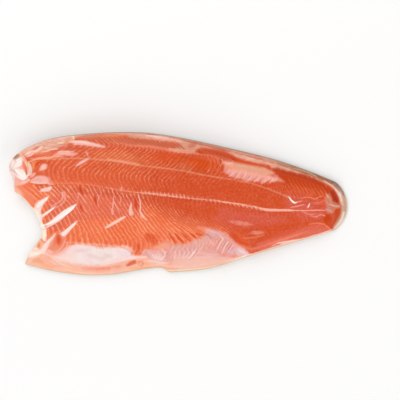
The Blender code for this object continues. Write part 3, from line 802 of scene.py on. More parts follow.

# Near the tail, the white hook near x 125 to 135, the pink and blush strokes beside it, the lavender dabs on the
# grey smear and the white dabs on the rim are painted highlights of the film. The slate line along the rim is a
# painted thin shadow.
TAIL_MARKS = """
orange 1 2.2 108,47.6 113,46 120,44.6 131,42.4 141,40.4 151,38 158,35 164,31.6 168,27 160,28.6 150,30 140,31
  126,33.6 118,37.6 112,43.6
dark .4 1.6 112,46.6,.5 122,44.4,1 136,41.6,1 150,38,.8 160,33,.5
dark .14 2.4 108,47.6 120,44.6 141,40.4 158,35 168,27 150,30 126,33.6 112,43.6
deep .5 .6 9 4.2 -.7 122,39.4,.2 128,31,.5 131,25.4,.3
line .3 .6 9 4.2 -.7 124,38.4,.2 130,30,.4 133,25,.3
dark .75 2 165.6,27.6 169,29 172,26 175.6,20.6 174,17 170.6,19
dark .7 .8 169,23,.6 172,21,1.2 174,19,.8
orange 1 1 161,1 163,5 167,4.6 170.6,2 172,-3 171,-9 167,-7 162.6,-3
flame .4 1 172,11.4 178.6,11 178.2,5 175.6,-1 172,-6 170.8,0
orange .85 1 172,11.4 178.6,11 178.2,5 175.6,-1 172,-6 170.8,0
russet .5 .8 171.4,8,.6 171.2,2,.7 171,-4,.5
deep .5 1 150,10,1 158,12,1.4 162,14,1
tan .75 1 162.6,23.4 165.4,26 168,22 169,18.4 173,16.6 178.6,15 178.6,12.4 173,11.4 170.6,7 165.4,6 162.4,9 164.4,13
  162,19
salmon .6 .8 161.6,22,.6 163,18,1.2 165,14.6,.8
mauve .4 .8 163,10,.8 166,8,1.4 169,7,.6
grey .4 1 163,24.6,.5 166.4,21,.9 168.4,15,.9 173,13,.7 177,13.6,.5
lavender .6 .6 162.6,25.4,.3 164.6,22,.5
lavender .65 .6 166,15.4,.3 170,14,.5 176,14,.4
lavender .45 .6 164,10,.4 168,9,.5 170,7,.3
mauve .35 1.2 163,17,1 165,13.6,1.8 167,10,1.2
line .75 .5 137,19,.3 141,20.6,.5 147,21,.5 151.6,19.4,.5 155.4,21.6,.5 159.4,23.4,.3
line .55 .5 150.4,16.6,.3 154,15.6,.4 158,17,.5 161,19,.4
pink .6 .5 140,6.6,.4 145,4.4,.5 149,3.6,.5 152,4.6,.3
pink .6 .5 149,2.4,.3 154,1.6,.5 158.6,4.4,.5 163,3.4,.4
rose .45 1.2 142,5,1 150,3.6,1.8 159,4.6,1.2
rose .3 1.6 140,12,1.4 150,13,2 160,16,1.4
dark .4 .8 134,12.6,.3 142,14.6,.5 150,12.6,.6 158,13.6,.4
dark .3 .8 146,18,.6 152,17,.6
dark .3 .8 152,23,.5 158,20.6,.6
pink .8 .5 98,6.6,.9 104,5.4,1.3 110,5.6,1.4 118,6,1.1 126,6.6,1.2 133,6.8,.5 146,7.6,.4 154,8.6,.5 162,8.8,.3
peach .7 .5 103,5.6,.6 109,5.6,.8 113,5.8,.4
pink .8 .5 128.6,9.6,.3 135,11.2,.5 141.6,13.6,.3
white .9 .5 125.4,20.8,.2 128,17.4,.6 130.6,14.9,.8 133,14.5,.6 135,15.6,.2
pink .7 .5 134,15.4,.3 139,16.8,.4
blush .85 .5 145.4,10.4,.4 146.9,14.6,.5
rose .55 1.8 96,-30 118,-17.6 134,-12 150,-7 158,-5 164,-8 168,-11 150,-19 128,-27 100,-38
salmon .15 1.2 96,-35,.5 112,-27,1 132,-19,1.2 150,-12.6,.8
line .35 .6 5 6.4 2.5 98,-34.6,.3 110,-28.4,.4 122,-22.6,.3
deep .55 .8 5 7 2.33 94,-29.6,.3 106,-23.4,.6 116,-18,.3
deep .5 1.2 3 -6 -.5 110,-16,.4 120,-10.6,.8 131,-8,.4
line .7 .6 148,-6,.3 156,-4.2,.5 162,-5,.5 167,-8.4,.5 171,-11,.4
blush .6 .7 112,-31,.3 118,-27.6,.5 124,-26,.7 132,-24.4,.8 140,-22.8,.4
shell .9 .8 88,-43.6,1.2 100,-39,1.1 112,-33.8,1.1 122,-29.8,1.3 130,-27,1.5 138,-24.8,1.3 148,-20.8,1 160,-16,1
  171,-11.6,1
cream .85 .5 128,-28.6,.6 135,-26.2,1 142,-23.6,.6 152,-19.8,.5 164,-15,.6 172,-11.8,.5
beige .8 1.2 110,58 112,51 118,50 130,48 140,46.4 152,42.4 162,38 170,33 176,26 179,16 178,6 174,-4 171,-12 176,-16
  192,0 192,30 176,46 140,60
tan .25 1.2 116,52,.8 130,49.6,1 142,47.4,.8
brown .4 1.6 112,54,.8 130,50,1.6 150,44.6,1.6 160,41,1.8 170,36,1.6 175,31,1.2
brown .8 1.2 126,50,1 140,47,1.6 152,43.8,1.6 160,41,2 168,37,1.3
brown .4 1.2 170,35.4,1 174.6,31,1.2 178.2,25,1 180.4,17,.8
cream .6 .6 124,50,.3 134,48.6,.5 143,46.4,.5 152,42.6,.5
shell .8 .8 160,38.6,.7 167,34.4,.8 172,30.6,1.2 176.4,24,1.4 178.8,16,.9
white .65 .7 172,31,.5 176,26.4,1.2 178.6,19,.6
cream .45 1 176.6,27,.8 178.8,22,1 180.2,16,.8
slate .7 .7 136,51.6,.4 146,48.4,.9 156,45,1.2 165,41,1.3 172,36.6,1.3 178,30.6,1.1 181.6,23,.7
grey .8 1 180.4,24,.8 182.4,17,1.3 182.6,9,1.2 181,2,.8
brown .3 1 181,22,.5 182.6,14,.8 182,6,.6
white .65 1 181.4,8,1 180,1,1.3 176.6,-5,1.2 173,-9,.7
tan .4 .8 179.4,9,.6 178.8,3,.6 176.4,-2,.5
"""

MARKS = [mark for table in (LOIN_MARKS, HEAD_MARKS, COLLAR_MARKS, BELLY_MARKS, VEIL_MARKS, TAIL_MARKS)
         for mark in read_marks(table)]


def linear(red: int, green: int, blue: int) -> Colour:
    """A colour given as it shows on screen, from 0 to 255, as linear light."""
    return tuple((c / 255 / 12.92) if c <= 10 else ((c / 255 + 0.055) / 1.055) ** 2.4 for c in (red, green, blue))


def painted(x: Array, y: Array) -> Array:
    """Lays the marks over each other.

    Args:
        x: Plan places.
        y: Plan places.

    Returns:
        Red, green, blue and cover at each place, the colour as linear light.
    """
    colour, cover = np.zeros((len(x), 3)), np.zeros(len(x))
    for mark in MARKS:
        px, py, *half = np.array(mark.shape.points, float).T
        reach = mark.soft + (half[0].max() if half else 0)
        near = ((x > px.min() - reach) & (x < px.max() + reach)
                & (y > py.min() - reach) & (y < py.max() + reach))
        if near.any():
            depth = mark.shape.inside(x[near], y[near])
            share = (1 - fade(depth + mark.soft, 2 * mark.soft)) * mark.strength
            colour[near] = lerp(colour[near], np.array(linear(*mark.hue.value)), share[:, None])
            cover[near] = lerp(cover[near], 1.0, share)
    return np.column_stack([colour / np.maximum(cover, 1e-4)[:, None], cover])


# The haze, veil and cool areas are painted film sheen, a paler, pinker reflection over the flesh. The membrane area
# is pale belly membrane with the film's glare painted over it as well.
AREAS = """
membrane -112,-60 -109,-53 -103,-48.5 -98,-46.8 -88,-46.4 -78,-46.6 -70,-48.4 -62,-46.8 -55,-46 -48,-45.4 -42,-46.4
  -38,-49 -35,-53 -31,-55 -33,-57 -42.5,-58.8 -55,-62 -65,-65.4 -77.5,-67.4 -90,-68 -103,-67.4 -110,-65
veil -25,-48 -22.5,-46.3 -15,-44.4 -9,-41.5 -4,-38 1.3,-34.5 5,-34.5 9,-37.5 12,-37.5 16,-35.8 20,-36.5 24,-35
  28,-33 31,-31 35,-30 40,-27.5 43,-25 44,-22.5 42,-20 44,-17.6 47.5,-17.4 52.5,-18.3 58,-19.2 63,-21.5 68,-23.5
  72.5,-27.5 77.5,-32 83,-34.5 87.5,-38 90,-41.5 84,-45.5 77.5,-46.5 70,-48 60,-49 52.5,-50 40,-51.5 30,-52 21,-54
  10,-56 0,-57 -10,-57 -18,-55 -24,-52
veil -147,18 -143,24 -136,25.5 -129,24 -126,19.5 -133,18.5
margin -150,-62 -140,-60 -130,-59 -122,-59 -115,-55 -107,-49 -96,-46.5 -50,-46.6 -42,-48 -36,-54 -24,-52 -14,-52
  10,-54 21,-53 40,-51 60,-49 77,-46.5 84,-45.5 90,-42.5 95,-50 60,-70 0,-90 -160,-95 -175,-80 -160,-66
cream -167,4,1.4 -160,-3,2 -155,-10,2.8 -149.5,-15,5 -145,-23,5.5 -141.5,-30,4.6 -139,-37,3.8 -136.5,-44,1.2
cream -142,-42,1 -150,-51,1.8 -157,-62,1.8 -163,-74,1.6
cream -156,-60 -150,-52.5 -146,-55 -140,-57 -137,-59.5 -143,-62 -151,-65
cream 72,-53,.7 84,-46.6,1.2 90,-43.8,1.6 104,-38,1.3 118,-32.2,1.5 130,-28,2.4 140,-24.5,2.2 150,-20,1.6
  160,-16,1.5 172,-11,1.4
cream 118,-27.5,.6 126,-27,2 136,-24.6,2 144,-22,1
fat -190,49 -171,52.5 -160,48.5 -152,47 -146,50 -138,52.5 -130,53.5 -120,55.5 -112.5,58.5 -107,63 -103,69 -94,73
  -80,75 -60,76 -48,74.6 -38,71.4 -20,70.6 -3,69.8 9,69.6 12,66.5 10,62.5 2,61.5 2,60 12,58.5 22,58 28,59 29,63
  33,66 45,65.5 57,64 64,61 71,57 80,54.5 90,53 104,51.2 107,48 113,49.5 121,47 131,45.5 141,44.2 152,40.5 162,36
  170,31.5 176,24 178.5,14 178,4 173,-5 171,-14 192,-14 192,90 -190,90
haze 66,-8.4 76,-7.4 86,-8.4 92.5,-10.4 86,-12.2 75,-12
haze 88,-20 92,-17 100,-16 105,-17.6 97,-20.6
haze 56,53.4 66,51.2 77.5,49.4 90,48.6 100,47.6 108,44.5 114,40 120.5,35.6 120,33.6 113,35.8 108.8,33.8 103,36
  96,31.5 90,34.5 82.5,31.4 78,35.6 71,34.6 68,39 63.8,41 61,46 57.5,48.8
cool -122,12 -100,15 -60,13 -30,10 -20,-4 -34,-12 -60,-15 -88,-18 -104,-24 -118,-34 -132,-34 -136,-14
cool 60,4 100,2 125,0 128,-6 100,-12 70,-14 50,-8
cool 122,22 150,20 164,14 162,-2 140,-2 126,6
septum -140,17,0 -125,18,0 -112,18.6,0 -100,19.5,0 -85,19.5,0 -70,18,0 -60,17,0 -50,15.6,0 -30,14.5,0 -10,14,0
  10,12.7,0 30,11.8,0 50,11.6,0 70,10,0 90,8,0 103,6,0 110,5.8,0 128,6.5,0 144,7,0 160,9,0
loin -150,43,0 -130,43.5,0 -115,45,0 -90,46.5,0 -60,46,0 -45,44.6,0 -35,43,0 -20,42,0 0,41,0 20,39.5,0 40,36.5,0
  60,34.5,0 75,33,0 90,31,0 100,28,0 110,25,0 120,21.5,0 127,19,0
back -66,65.5,0 -50,64.5,0 -40,62.8,0 -30,62.2,0 -20,62.8,0 -10,62,0 0,61,0 10,60,0 20,60.5,0 27,59.5,0 32,57,0
  45,56.5,0 53,54,0
"""

WASHES = """
grain 6 .92 -150,14 -120,17 -60,16 -34,15 -20,9 -4,3 12,-3 26,-7 44,-11 66,-16 84,-32 60,-70 -60,-90 -160,-60
  -150,-10
grain 8 .3 -140,20 -60,19 -20,17 -6,18 6,30 -20,42 -60,46 -140,44
grain 4 .42 -130,31 -30,28 -10,30 -10,42 -60,46 -130,45
grain 4 .22 -14,28 20,27 46,26 60,34 20,41 -14,42
grain 6 -.35 -100,8 -60,6 -54,-8 -90,-14 -108,-4
grain 4 .75 -130,46 -60,47 0,42 50,38 58,52 20,60 -60,66 -110,64 -120,52
grain 5 -.4 -16,46 20,48 46,46 52,54 20,60 -16,60
grain 4 .6 -90,66 10,64 14,72 -40,76 -90,74
grain 4 .26 56,32 100,28 128,17 168,22 170,36 112,50 56,56
grain 5 .3 90,-34 150,-8 172,0 172,-14 120,-34 90,-46
tone 14 .5 -200,16 -110,18 -40,10 -2,-4 20,-12 60,-16 84,-32 60,-90 -200,-90
tone 22 .26 -200,16 -60,17 -20,24 -40,46 -200,46
tone 16 .18 -200,46 -60,46 -10,42 -20,62 -200,70
tone 6 -.22 10,46 30,40 52,44 64,56 40,62 14,60
tone 5 -.34 106,50 108,40 124,30 160,26 174,26 180,44 112,60
tone 6 .08 96,-34 120,-18 160,-5 174,-8 172,-16 110,-40
"""


@dataclass(frozen=True)
class Markings:
    """Where each tissue and the film's painted sheen show on the flesh, and the values that change over it.

    Each row of AREAS is a tissue or a patch of painted film sheen, with an outline or a streak of it, or a
    lengthwise line.
    Each row of WASHES is a value, how soft the wash's edge is, what it adds and its outline.
    """

    areas: dict[str, list[Shape]] = field(default_factory=lambda: {
        name: [Shape(points) for title, _, points in read_rows(AREAS) if title == name]
        for name, _, _ in read_rows(AREAS)})
    grounds: dict[str, float] = field(default_factory=lambda: {"grain": 0.08, "tone": 0.40})
    farthest: float = 12.0

    def inside(self, name: str, x: Array, y: Array) -> Array:
        """Distance in from the nearest edge of an area's outlines, a tissue or painted film sheen, clipped."""
        depths = [shape.inside(x, y) for shape in self.areas[name]]
        return np.clip(np.max(depths, axis=0), -self.farthest, self.farthest)

    def beside(self, name: str, x: Array, y: Array) -> Array:
        """Signed distance from a lengthwise line.

        Args:
            name: The line.
            x: Plan places.
            y: Plan places.

        Returns:
            Millimetres, positive on the line's back side.
        """
        line = self.areas[name][0]
        line_x, line_y, _ = zip(*line.points)
        side = np.where(y < np.interp(x, line_x, line_y), -1, 1)
        return np.clip(-line.inside(x, y), 0, self.farthest) * side

    def washed(self, name: str, x: Array, y: Array) -> Array:
        """A ground value with soft washes over it.

        Args:
            name: The value.
            x: Plan places.
            y: Plan places.

        Returns:
            Values from 0 to 1.
        """
        value = self.grounds[name]
        for title, (feather, amount), points in read_rows(WASHES):
            if title == name:
                value = value + amount * fade(feather - Shape(points).inside(x, y), 2 * feather)
        return np.clip(value, 0, 1)


# ---------------------------------------------------------------- shader graphs

class Graph:
    """A node tree with short calls for the nodes that the finishes use."""

    def __init__(self, tree: bpy.types.NodeTree) -> None:
        """Starts on a tree."""
        self.tree = tree

    def fill(self, node: bpy.types.Node, values: dict) -> None:
        """Links sockets to a node's inputs or sets plain values there.

        Args:
            node: The node.
            values: A socket or a plain value for each input, by its title or number.
        """
        for key, value in values.items():
            socket = node.inputs[key]
            if isinstance(value, Socket):
                self.tree.links.new(value, socket)
            else:
                short = socket.type == "RGBA" and len(value) == 3
                socket.default_value = (*value, 1.0) if short else value

    def node(self, kind: str, values: dict, **settings: object) -> bpy.types.Node:
        """Adds a node.

        Args:
            kind: Its type.
            values: What its inputs get.
            **settings: Its properties.

        Returns:
            The node.
        """
        made = self.tree.nodes.new("ShaderNode" + kind)
        for name, value in settings.items():
            setattr(made, name, value)
        self.fill(made, values)
        return made

    def math(self, operation: str, a: object, b: object = 0.0, c: object = 0.0, clamp: bool = False) -> Socket:
        """One Math node."""
        return self.node("Math", {0: a, 1: b, 2: c}, operation=operation, use_clamp=clamp).outputs[0]

    def product(self, *values: object) -> Socket:
        """The product of these values."""
        return reduce(lambda a, b: self.math("MULTIPLY", a, b), values)

    def mix(self, share: object, below: object, above: object) -> Socket:
        """Mixes two colours."""
        return self.node("Mix", {0: share, 6: below, 7: above}, data_type="RGBA", clamp_factor=True).outputs[2]

    def attribute(self, name: str, output: str = "Fac") -> Socket:
        """What the mesh carries at its points under this name."""
        return self.node("Attribute", {}, attribute_name=name).outputs[output]

    def place(self) -> Socket:
        """Object coordinates, in metres."""
        return self.node("TexCoord", {}).outputs["Object"]

    def stretch(self, vector: Socket, size: tuple[float, ...], turn: float = 0.0) -> Socket:
        """Scales a pattern's coordinates and turns them about Z, by a Mapping node."""
        return self.node("Mapping", {"Vector": vector, "Scale": size, "Rotation": (0.0, 0.0, turn)}).outputs[0]

    def noise(self, vector: Socket, scale: object, detail: float = 3.0, rough: float = 0.55) -> Socket:
        """A noise value about 0.5."""
        values = {"Vector": vector, "Scale": scale, "Detail": detail, "Roughness": rough}
        return self.node("TexNoise", values).outputs[0]

    def sway(self, noise: Socket, gain: object, base: object, clamp: bool = False) -> Socket:
        """A value that a noise about 0.5 moves up and down."""
        return self.math("MULTIPLY_ADD", self.math("SUBTRACT", noise, 0.5), gain, base, clamp)

    def between(self, value: Socket, low: object, high: object) -> Socket:
        """0 below low, easing to 1 above high."""
        values = {"Value": value, "From Min": low, "From Max": high}
        return self.node("MapRange", values, interpolation_type="SMOOTHSTEP").outputs[0]

    def patches(self, vector: Socket, scale: float, low: float, high: float, detail: float = 3.0) -> Socket:
        """A noise as soft patches from 0 to 1."""
        return self.between(self.noise(vector, scale, detail), low, high)

    def ramp(self, share: Socket, *stops: tuple[float, object]) -> Socket:
        """A ColorRamp.

        Args:
            share: Where it is read.
            *stops: Each place with its colour or its grey value.

        Returns:
            Its colour.
        """
        made = self.node("ValToRGB", {0: share})
        elements = made.color_ramp.elements
        for i, (at, value) in enumerate(stops):
            element = elements[i] if i < 2 else elements.new(at)
            element.position = at
            element.color = (*(value if isinstance(value, tuple) else (value,) * 3), 1.0)
        return made.outputs[0]

    def group(self, tree: bpy.types.NodeTree, **values: object) -> bpy.types.Node:
        """Places a node group with its own values."""
        return self.node("Group", values, node_tree=tree)

    def bump(self, height: Socket, distance: float, strength: float = 0.5) -> Socket:
        """Bends the normal by a height times distance."""
        return self.node("Bump", {"Height": height, "Distance": distance, "Strength": strength}).outputs[0]


def new_group(name: str, inputs: dict, *outputs: str) -> tuple[Graph, bpy.types.bpy_prop_collection,
                                                               bpy.types.Node]:
    """Starts a shader node group.

    Args:
        name: Its name.
        inputs: Each input's title and its plain number, or None where it is a vector.
        *outputs: The titles of its outputs, all numbers.

    Returns:
        Its graph, its inputs as sockets to read, and the node that takes its outputs.
    """
    tree = bpy.data.node_groups.new(name, "ShaderNodeTree")
    for title, plain in inputs.items():
        kind = "NodeSocketVector" if plain is None else "NodeSocketFloat"
        made = tree.interface.new_socket(name=title, in_out="INPUT", socket_type=kind)
        if plain is not None:
            made.default_value = plain
    for title in outputs:
        tree.interface.new_socket(name=title, in_out="OUTPUT", socket_type="NodeSocketFloat")
    return Graph(tree), tree.nodes.new("NodeGroupInput").outputs, tree.nodes.new("NodeGroupOutput")


class Effects:
    """The node groups that more than one finish places."""

    def __init__(self) -> None:
        """Builds each group once."""
        self.ragged, self.moisture = self.make_ragged(), self.make_moisture()

    @staticmethod
    def make_ragged() -> bpy.types.NodeTree:
        """A mask from a distance in millimetres, with an uneven edge.

        Returns:
            The group.
        """
        graph, given, end = new_group("ragged_edge", {
            "Vector": None, "Distance": 0.0, "Softness": 0.6, "Raggedness": 1.0, "Scale": 300.0}, "Mask")
        noise = graph.noise(given["Vector"], given["Scale"], detail=4.0, rough=0.6)
        moved = graph.sway(noise, graph.product(given["Raggedness"], 4.0), given["Distance"])
        low = graph.product(given["Softness"], -1.0)
        graph.fill(end, {"Mask": graph.between(moved, low, given["Softness"])})
        return graph.tree

    @staticmethod
    def make_moisture() -> bpy.types.NodeTree:
        """Fine wet grain: a height and a patchy value.

        Returns:
            The group.
        """
        graph, given, end = new_group("moisture", {"Vector": None, "Scale": 900.0}, "Height", "Patches")
        fine = graph.noise(given["Vector"], given["Scale"], detail=4.0, rough=0.6)
        broad = graph.noise(given["Vector"], graph.product(given["Scale"], 0.12), rough=0.5)
        graph.fill(end, {"Height": graph.math("MULTIPLY_ADD", broad, 2.0, fine),
                         "Patches": graph.between(broad, low=0.3, high=0.7)})
        return graph.tree


class Finish:
    """What every finish shares: one material with a Principled BSDF and its plain values."""

    name: str
    plain: dict

    def start(self) -> tuple[bpy.types.Material, Graph, bpy.types.Node]:
        """Starts the material.

        Returns:
            It, its graph and its Principled BSDF with the plain values set.
        """
        made = bpy.data.materials.new(self.name)
        made.use_nodes = True
        graph, shader = Graph(made.node_tree), made.node_tree.nodes["Principled BSDF"]
        graph.fill(shader, self.plain)
        return made, graph, shader


@dataclass(frozen=True)
class FleshFinish(Finish):
    """Raw trout flesh: flakes with pale seams, fat, membranes and blood-orange spots, wet under film, with the
    film's sheen and glare painted over it.

    An edge holds a mask's softness, unevenness and noise scale. A pattern holds a noise's scale, the
    values between which it rises, its detail and, where it is drawn out, its fineness across and its turn.
    """

    name: str = "flesh"
    tones: tuple = ((0.0, linear(190, 60, 0)), (0.25, linear(206, 70, 14)), (0.42, linear(211, 76, 34)),
                    (0.65, linear(224, 94, 52)), (0.85, linear(242, 114, 68)), (1.0, linear(248, 132, 88)))
    pale_seam: tuple = ((0.0, 0.0), (0.32, 0.0), (0.45, 0.9), (0.52, 1.0), (0.64, 0.3), (0.82, 0.0))
    dark_seam: tuple = ((0.0, 0.7), (0.28, 0.2), (0.42, 0.0), (0.6, 0.0), (0.8, 1.0), (1.0, 0.7))
    seam: Colour = linear(255, 186, 146)
    seam_shade: Colour = linear(186, 46, 10)
    seam_glow: Colour = linear(255, 206, 184)
    fleck: Colour = linear(176, 40, 8)
    # Painted film sheen: a cooler, pinker tint where the film's reflection lies over the flesh.
    cool: Colour = linear(216, 96, 84)
    below_septum: Colour = linear(190, 52, 20)
    # Painted reflection: the film's pinkish sheen in its pale patches.
    haze: Colour = linear(236, 158, 138)
    margin: Colour = linear(245, 188, 166)
    margin_blush: Colour = linear(243, 156, 124)
    # The pale belly membrane, with the film's glare over it painted in as well.
    membrane: Colour = linear(243, 224, 219)
    # Painted reflection: the film's pale lilac sheen over the belly, with the seams showing through it.
    membrane_cool: Colour = linear(240, 212, 214)
    veil: Colour = linear(238, 180, 172)
    sheen_veil_pale: Colour = linear(246, 212, 206)
    sheen_veil_dark: Colour = linear(226, 154, 148)
    fat: Colour = linear(224, 160, 134)
    fat_pale: Colour = linear(238, 190, 170)
    septum: Colour = linear(250, 180, 148)
    line: Colour = linear(240, 178, 140)
    cream: Colour = linear(250, 222, 194)
    edges: dict = field(default_factory=lambda: {
        "cool": (5.0, 2.0, 120.0), "below": (2.2, 0.6, 200.0), "haze": (1.0, 0.7, 300.0),
        "margin": (1.8, 0.6, 300.0), "membrane": (2.6, 0.9, 300.0), "veil": (2.0, 1.0, 300.0),
        "fat": (1.8, 0.9, 300.0), "septum": (0.5, 0.9, 520.0), "loin": (0.9, 0.6, 260.0),
        "back": (0.9, 0.6, 260.0), "cream": (0.7, 0.4, 300.0)})
    patterns: dict = field(default_factory=lambda: {
        "patchy": (70.0, 0.3, 0.62, 3.0), "broken": (300.0, 0.35, 0.65, 2.0), "beads": (380.0, 0.3, 0.6, 1.0),
        "hazy": (200.0, 0.1, 0.7, 3.0), "blush": (55.0, 0.42, 0.66, 3.0), "cooler": (70.0, 0.35, 0.65, 3.0),
        "fibre": (260.0, 0.5, 0.8, 3.0, 7.0, 0.0), "slant": (420.0, 0.35, 0.62, 3.0, 4.0, 1.05),
        "streaky": (150.0, 0.35, 0.7, 3.0, 5.0, 0.5)})
    seam_warps: tuple = ((80.0, 1.2), (240.0, 0.6))
    seam_at: float = 0.4
    below_reach: float = 4.0
    loin_half: float = 0.7
    back_half: float = 1.0
    plain: dict = field(default_factory=lambda: {
        "Metallic": 0.0, "IOR": 1.4, "Specular IOR Level": 0.1, "Subsurface Weight": 0.15,
        "Subsurface Scale": 0.0010, "Subsurface Radius": (1.0, 0.35, 0.2), "Coat Weight": 0.35,
        "Coat Roughness": 0.12, "Coat IOR": 1.38})

    def seams(self, graph: Graph, place: Socket) -> tuple[Socket, Socket]:
        """The pale line between flakes and the shade beside it.

        Args:
            graph: The material's graph.
            place: Object coordinates.

        Returns:
            Both, each from 0 to 1.
        """
        warp = graph.attribute("flake")
        for scale, gain in self.seam_warps:
            warp = graph.math("MULTIPLY_ADD", graph.noise(place, scale, detail=2.0), gain, warp)
        phase = graph.math("FRACT", graph.math("SUBTRACT", warp, self.seam_at))
        return graph.ramp(phase, *self.pale_seam), graph.ramp(phase, *self.dark_seam)

    def make(self, effects: Effects) -> bpy.types.Material:
        """Builds the material.

        Args:
            effects: The shared node groups.

        Returns:
            The flesh's material.
        """
        made, graph, shader = self.start()
        place = graph.place()

        def ragged(name: str, distance: Optional[Socket] = None) -> Socket:
            """A mask from a distance in millimetres.

            Args:
                name: Its edge.
                distance: The distance, or None where the mesh carries it under this name.

            Returns:
                The mask, from 0 to 1.
            """
            distance = graph.attribute(name) if distance is None else distance
            softness, uneven, scale = self.edges[name]
            return graph.group(effects.ragged, Vector=place, Distance=distance, Softness=softness,
                               Raggedness=uneven, Scale=scale).outputs[0]

        def pattern(name: str) -> Socket:
            """A noise as soft patches.

            Args:
                name: Its pattern.

            Returns:
                The patches, from 0 to 1.
            """
            scale, low, high, detail, *drawn = self.patterns[name]
            vector = graph.stretch(place, (1.0, drawn[0], 1.0), drawn[1]) if drawn else place
            return graph.patches(vector, scale, low, high, detail)

        def near(distance: Socket, reach: object) -> Socket:
            """Distance in from the edge of a line that reaches this far to both sides."""
            return graph.math("SUBTRACT", reach, graph.math("ABSOLUTE", distance))

        pale, shade = self.seams(graph, place)
        grain, septum = graph.attribute("grain"), graph.attribute("septum")
        patchy = graph.math("MULTIPLY_ADD", pattern("patchy"), 0.75, 0.3)
        broken = graph.math("MULTIPLY_ADD", pattern("broken"), 0.8, 0.2)
        beads = graph.math("MULTIPLY_ADD", pattern("beads"), 0.5, 0.5)
        reach = self.below_reach
        below = graph.product(ragged("below", near(graph.math("ADD", septum, reach), reach)), grain)
        speckle = graph.math("SUBTRACT", graph.noise(place, scale=480.0, rough=0.6), 0.5)
        # Painted film reflection over the belly, streaked.
        veil = graph.mix(graph.product(pattern("slant"), 0.7), self.sheen_veil_dark, self.veil)
        alpha = graph.attribute("paint", "Alpha")
        layers = (
            # Painted film sheen: a cooler tint over parts of the flesh.
            (self.cool, ragged("cool"), 0.5),
            (self.below_septum, below, 0.35),
            (self.seam_shade, shade, grain, 0.30),
            (self.seam, pale, grain, broken, patchy, 0.78),
            (self.seam_glow, pale, below, broken, 0.45),
            (self.seam, graph.math("MULTIPLY", speckle, 0.5, clamp=True)),
            (self.fleck, graph.math("MULTIPLY", speckle, -0.55, clamp=True)),
            (self.seam, pattern("fibre"), 0.14),
            # Painted reflection of the film in its pale patches.
            (self.haze, ragged("haze"), pattern("hazy"), 0.62),
            (graph.mix(graph.product(pattern("blush"), 0.6), self.margin, self.margin_blush), ragged("margin")),
            # Pale belly membrane, partly the film's painted glare.
            (graph.mix(pattern("cooler"), self.membrane, self.membrane_cool), ragged("membrane")),
            # Painted film reflection over the belly, paler on the seams.
            (graph.mix(graph.product(pale, broken, 0.5), veil, self.sheen_veil_pale), ragged("veil"), 0.88),
            (graph.mix(pattern("streaky"), self.fat, self.fat_pale), ragged("fat"), 0.9),
            (self.septum, ragged("septum", near(septum, graph.attribute("septum_width"))), beads,
             graph.attribute("septum_light"), 0.9),
            (self.line, ragged("loin", near(graph.attribute("loin"), self.loin_half)), 0.4),
            (self.line, ragged("back", near(graph.attribute("back"), self.back_half)), 0.12),
            (self.cream, ragged("cream")),
            # The marks: the flesh's own colours, with the film's glare and crease shade painted among them.
            (graph.attribute("paint", "Color"),
             graph.sway(graph.noise(place, scale=320.0), graph.product(alpha, 0.6), alpha, clamp=True)))
        mottle = graph.noise(place, scale=60.0, detail=4.0)
        colour = graph.ramp(graph.sway(mottle, gain=0.35, base=graph.attribute("tone")), *self.tones)
        for top, *shares in layers:
            colour = graph.mix(graph.product(*shares), colour, top)
        moisture = graph.group(effects.moisture, Vector=place, Scale=900.0).outputs
        height = graph.math("MULTIPLY_ADD", graph.product(pale, grain), -0.35,
                            graph.product(moisture["Height"], 0.10))
        graph.fill(shader, {
            "Base Color": colour, "Normal": graph.bump(height, distance=0.0006),
            "Roughness": graph.math("MULTIPLY_ADD", moisture["Patches"], 0.14, 0.34)})
        return made


@dataclass(frozen=True)
class SkinFinish(Finish):
    """Trout skin: spotted olive back, pink side and silver belly, all in fine scales."""

    name: str = "skin"
    tones: tuple = ((0.0, linear(228, 216, 200)), (0.22, linear(214, 208, 202)), (0.36, linear(196, 160, 156)),
                    (0.45, linear(178, 128, 128)), (0.54, linear(150, 138, 122)), (0.72, linear(104, 104, 84)),
                    (1.0, linear(74, 78, 66)))
    scale_edge: Colour = linear(70, 66, 60)
    spot: Colour = linear(34, 32, 30)
    belly_rim: Colour = linear(246, 222, 192)
    back_rim: Colour = linear(196, 176, 160)
    bands: float = 5.0
    scale_density: float = 620.0
    scale_line: float = 0.12
    spot_density: float = 130.0
    spot_radius: float = 0.34
    spot_bands: tuple[float, float] = (2.2, 4.2)
    rim_bands: tuple[float, float] = (3.4, 4.4)
    plain: dict = field(default_factory=lambda: {
        "Metallic": 0.0, "IOR": 1.45, "Coat Weight": 0.6, "Coat Roughness": 0.15})

    def make(self, effects: Effects) -> bpy.types.Material:
        """Builds the material.

        Args:
            effects: The shared node groups.

        Returns:
            The skin's material.
        """
        made, graph, shader = self.start()
        place, plain_band = graph.place(), graph.attribute("band")
        band = graph.sway(graph.noise(place, scale=25.0), gain=0.5, base=plain_band)
        scales = graph.node("TexVoronoi", {"Vector": graph.stretch(place, (1.0, 1.25, 1.0), turn=0.6),
                                           "Scale": self.scale_density}, feature="DISTANCE_TO_EDGE")
        edge = graph.between(scales.outputs["Distance"], 0.0, self.scale_line)
        spots = graph.node("TexVoronoi", {"Vector": place, "Scale": self.spot_density})
        size = graph.product(graph.between(band, *self.spot_bands), self.spot_radius)
        dark = graph.between(graph.math("SUBTRACT", size, spots.outputs["Distance"]), low=-0.04, high=0.06)
        rim = graph.mix(graph.between(plain_band, *self.rim_bands), self.belly_rim, self.back_rim)
        colour = graph.ramp(graph.math("DIVIDE", band, self.bands), *self.tones)
        for top, share in ((self.scale_edge, graph.math("MULTIPLY_ADD", edge, -0.35, 0.35)),
                           (self.spot, graph.product(dark, 0.85)), (rim, graph.attribute("rim"))):
            colour = graph.mix(share, colour, top)
        moisture = graph.group(effects.moisture, Vector=place, Scale=700.0).outputs
        graph.fill(shader, {
            "Base Color": colour, "Normal": graph.bump(edge, distance=0.0003),
            "Roughness": graph.math("MULTIPLY_ADD", moisture["Patches"], 0.15, 0.25)})
        return made


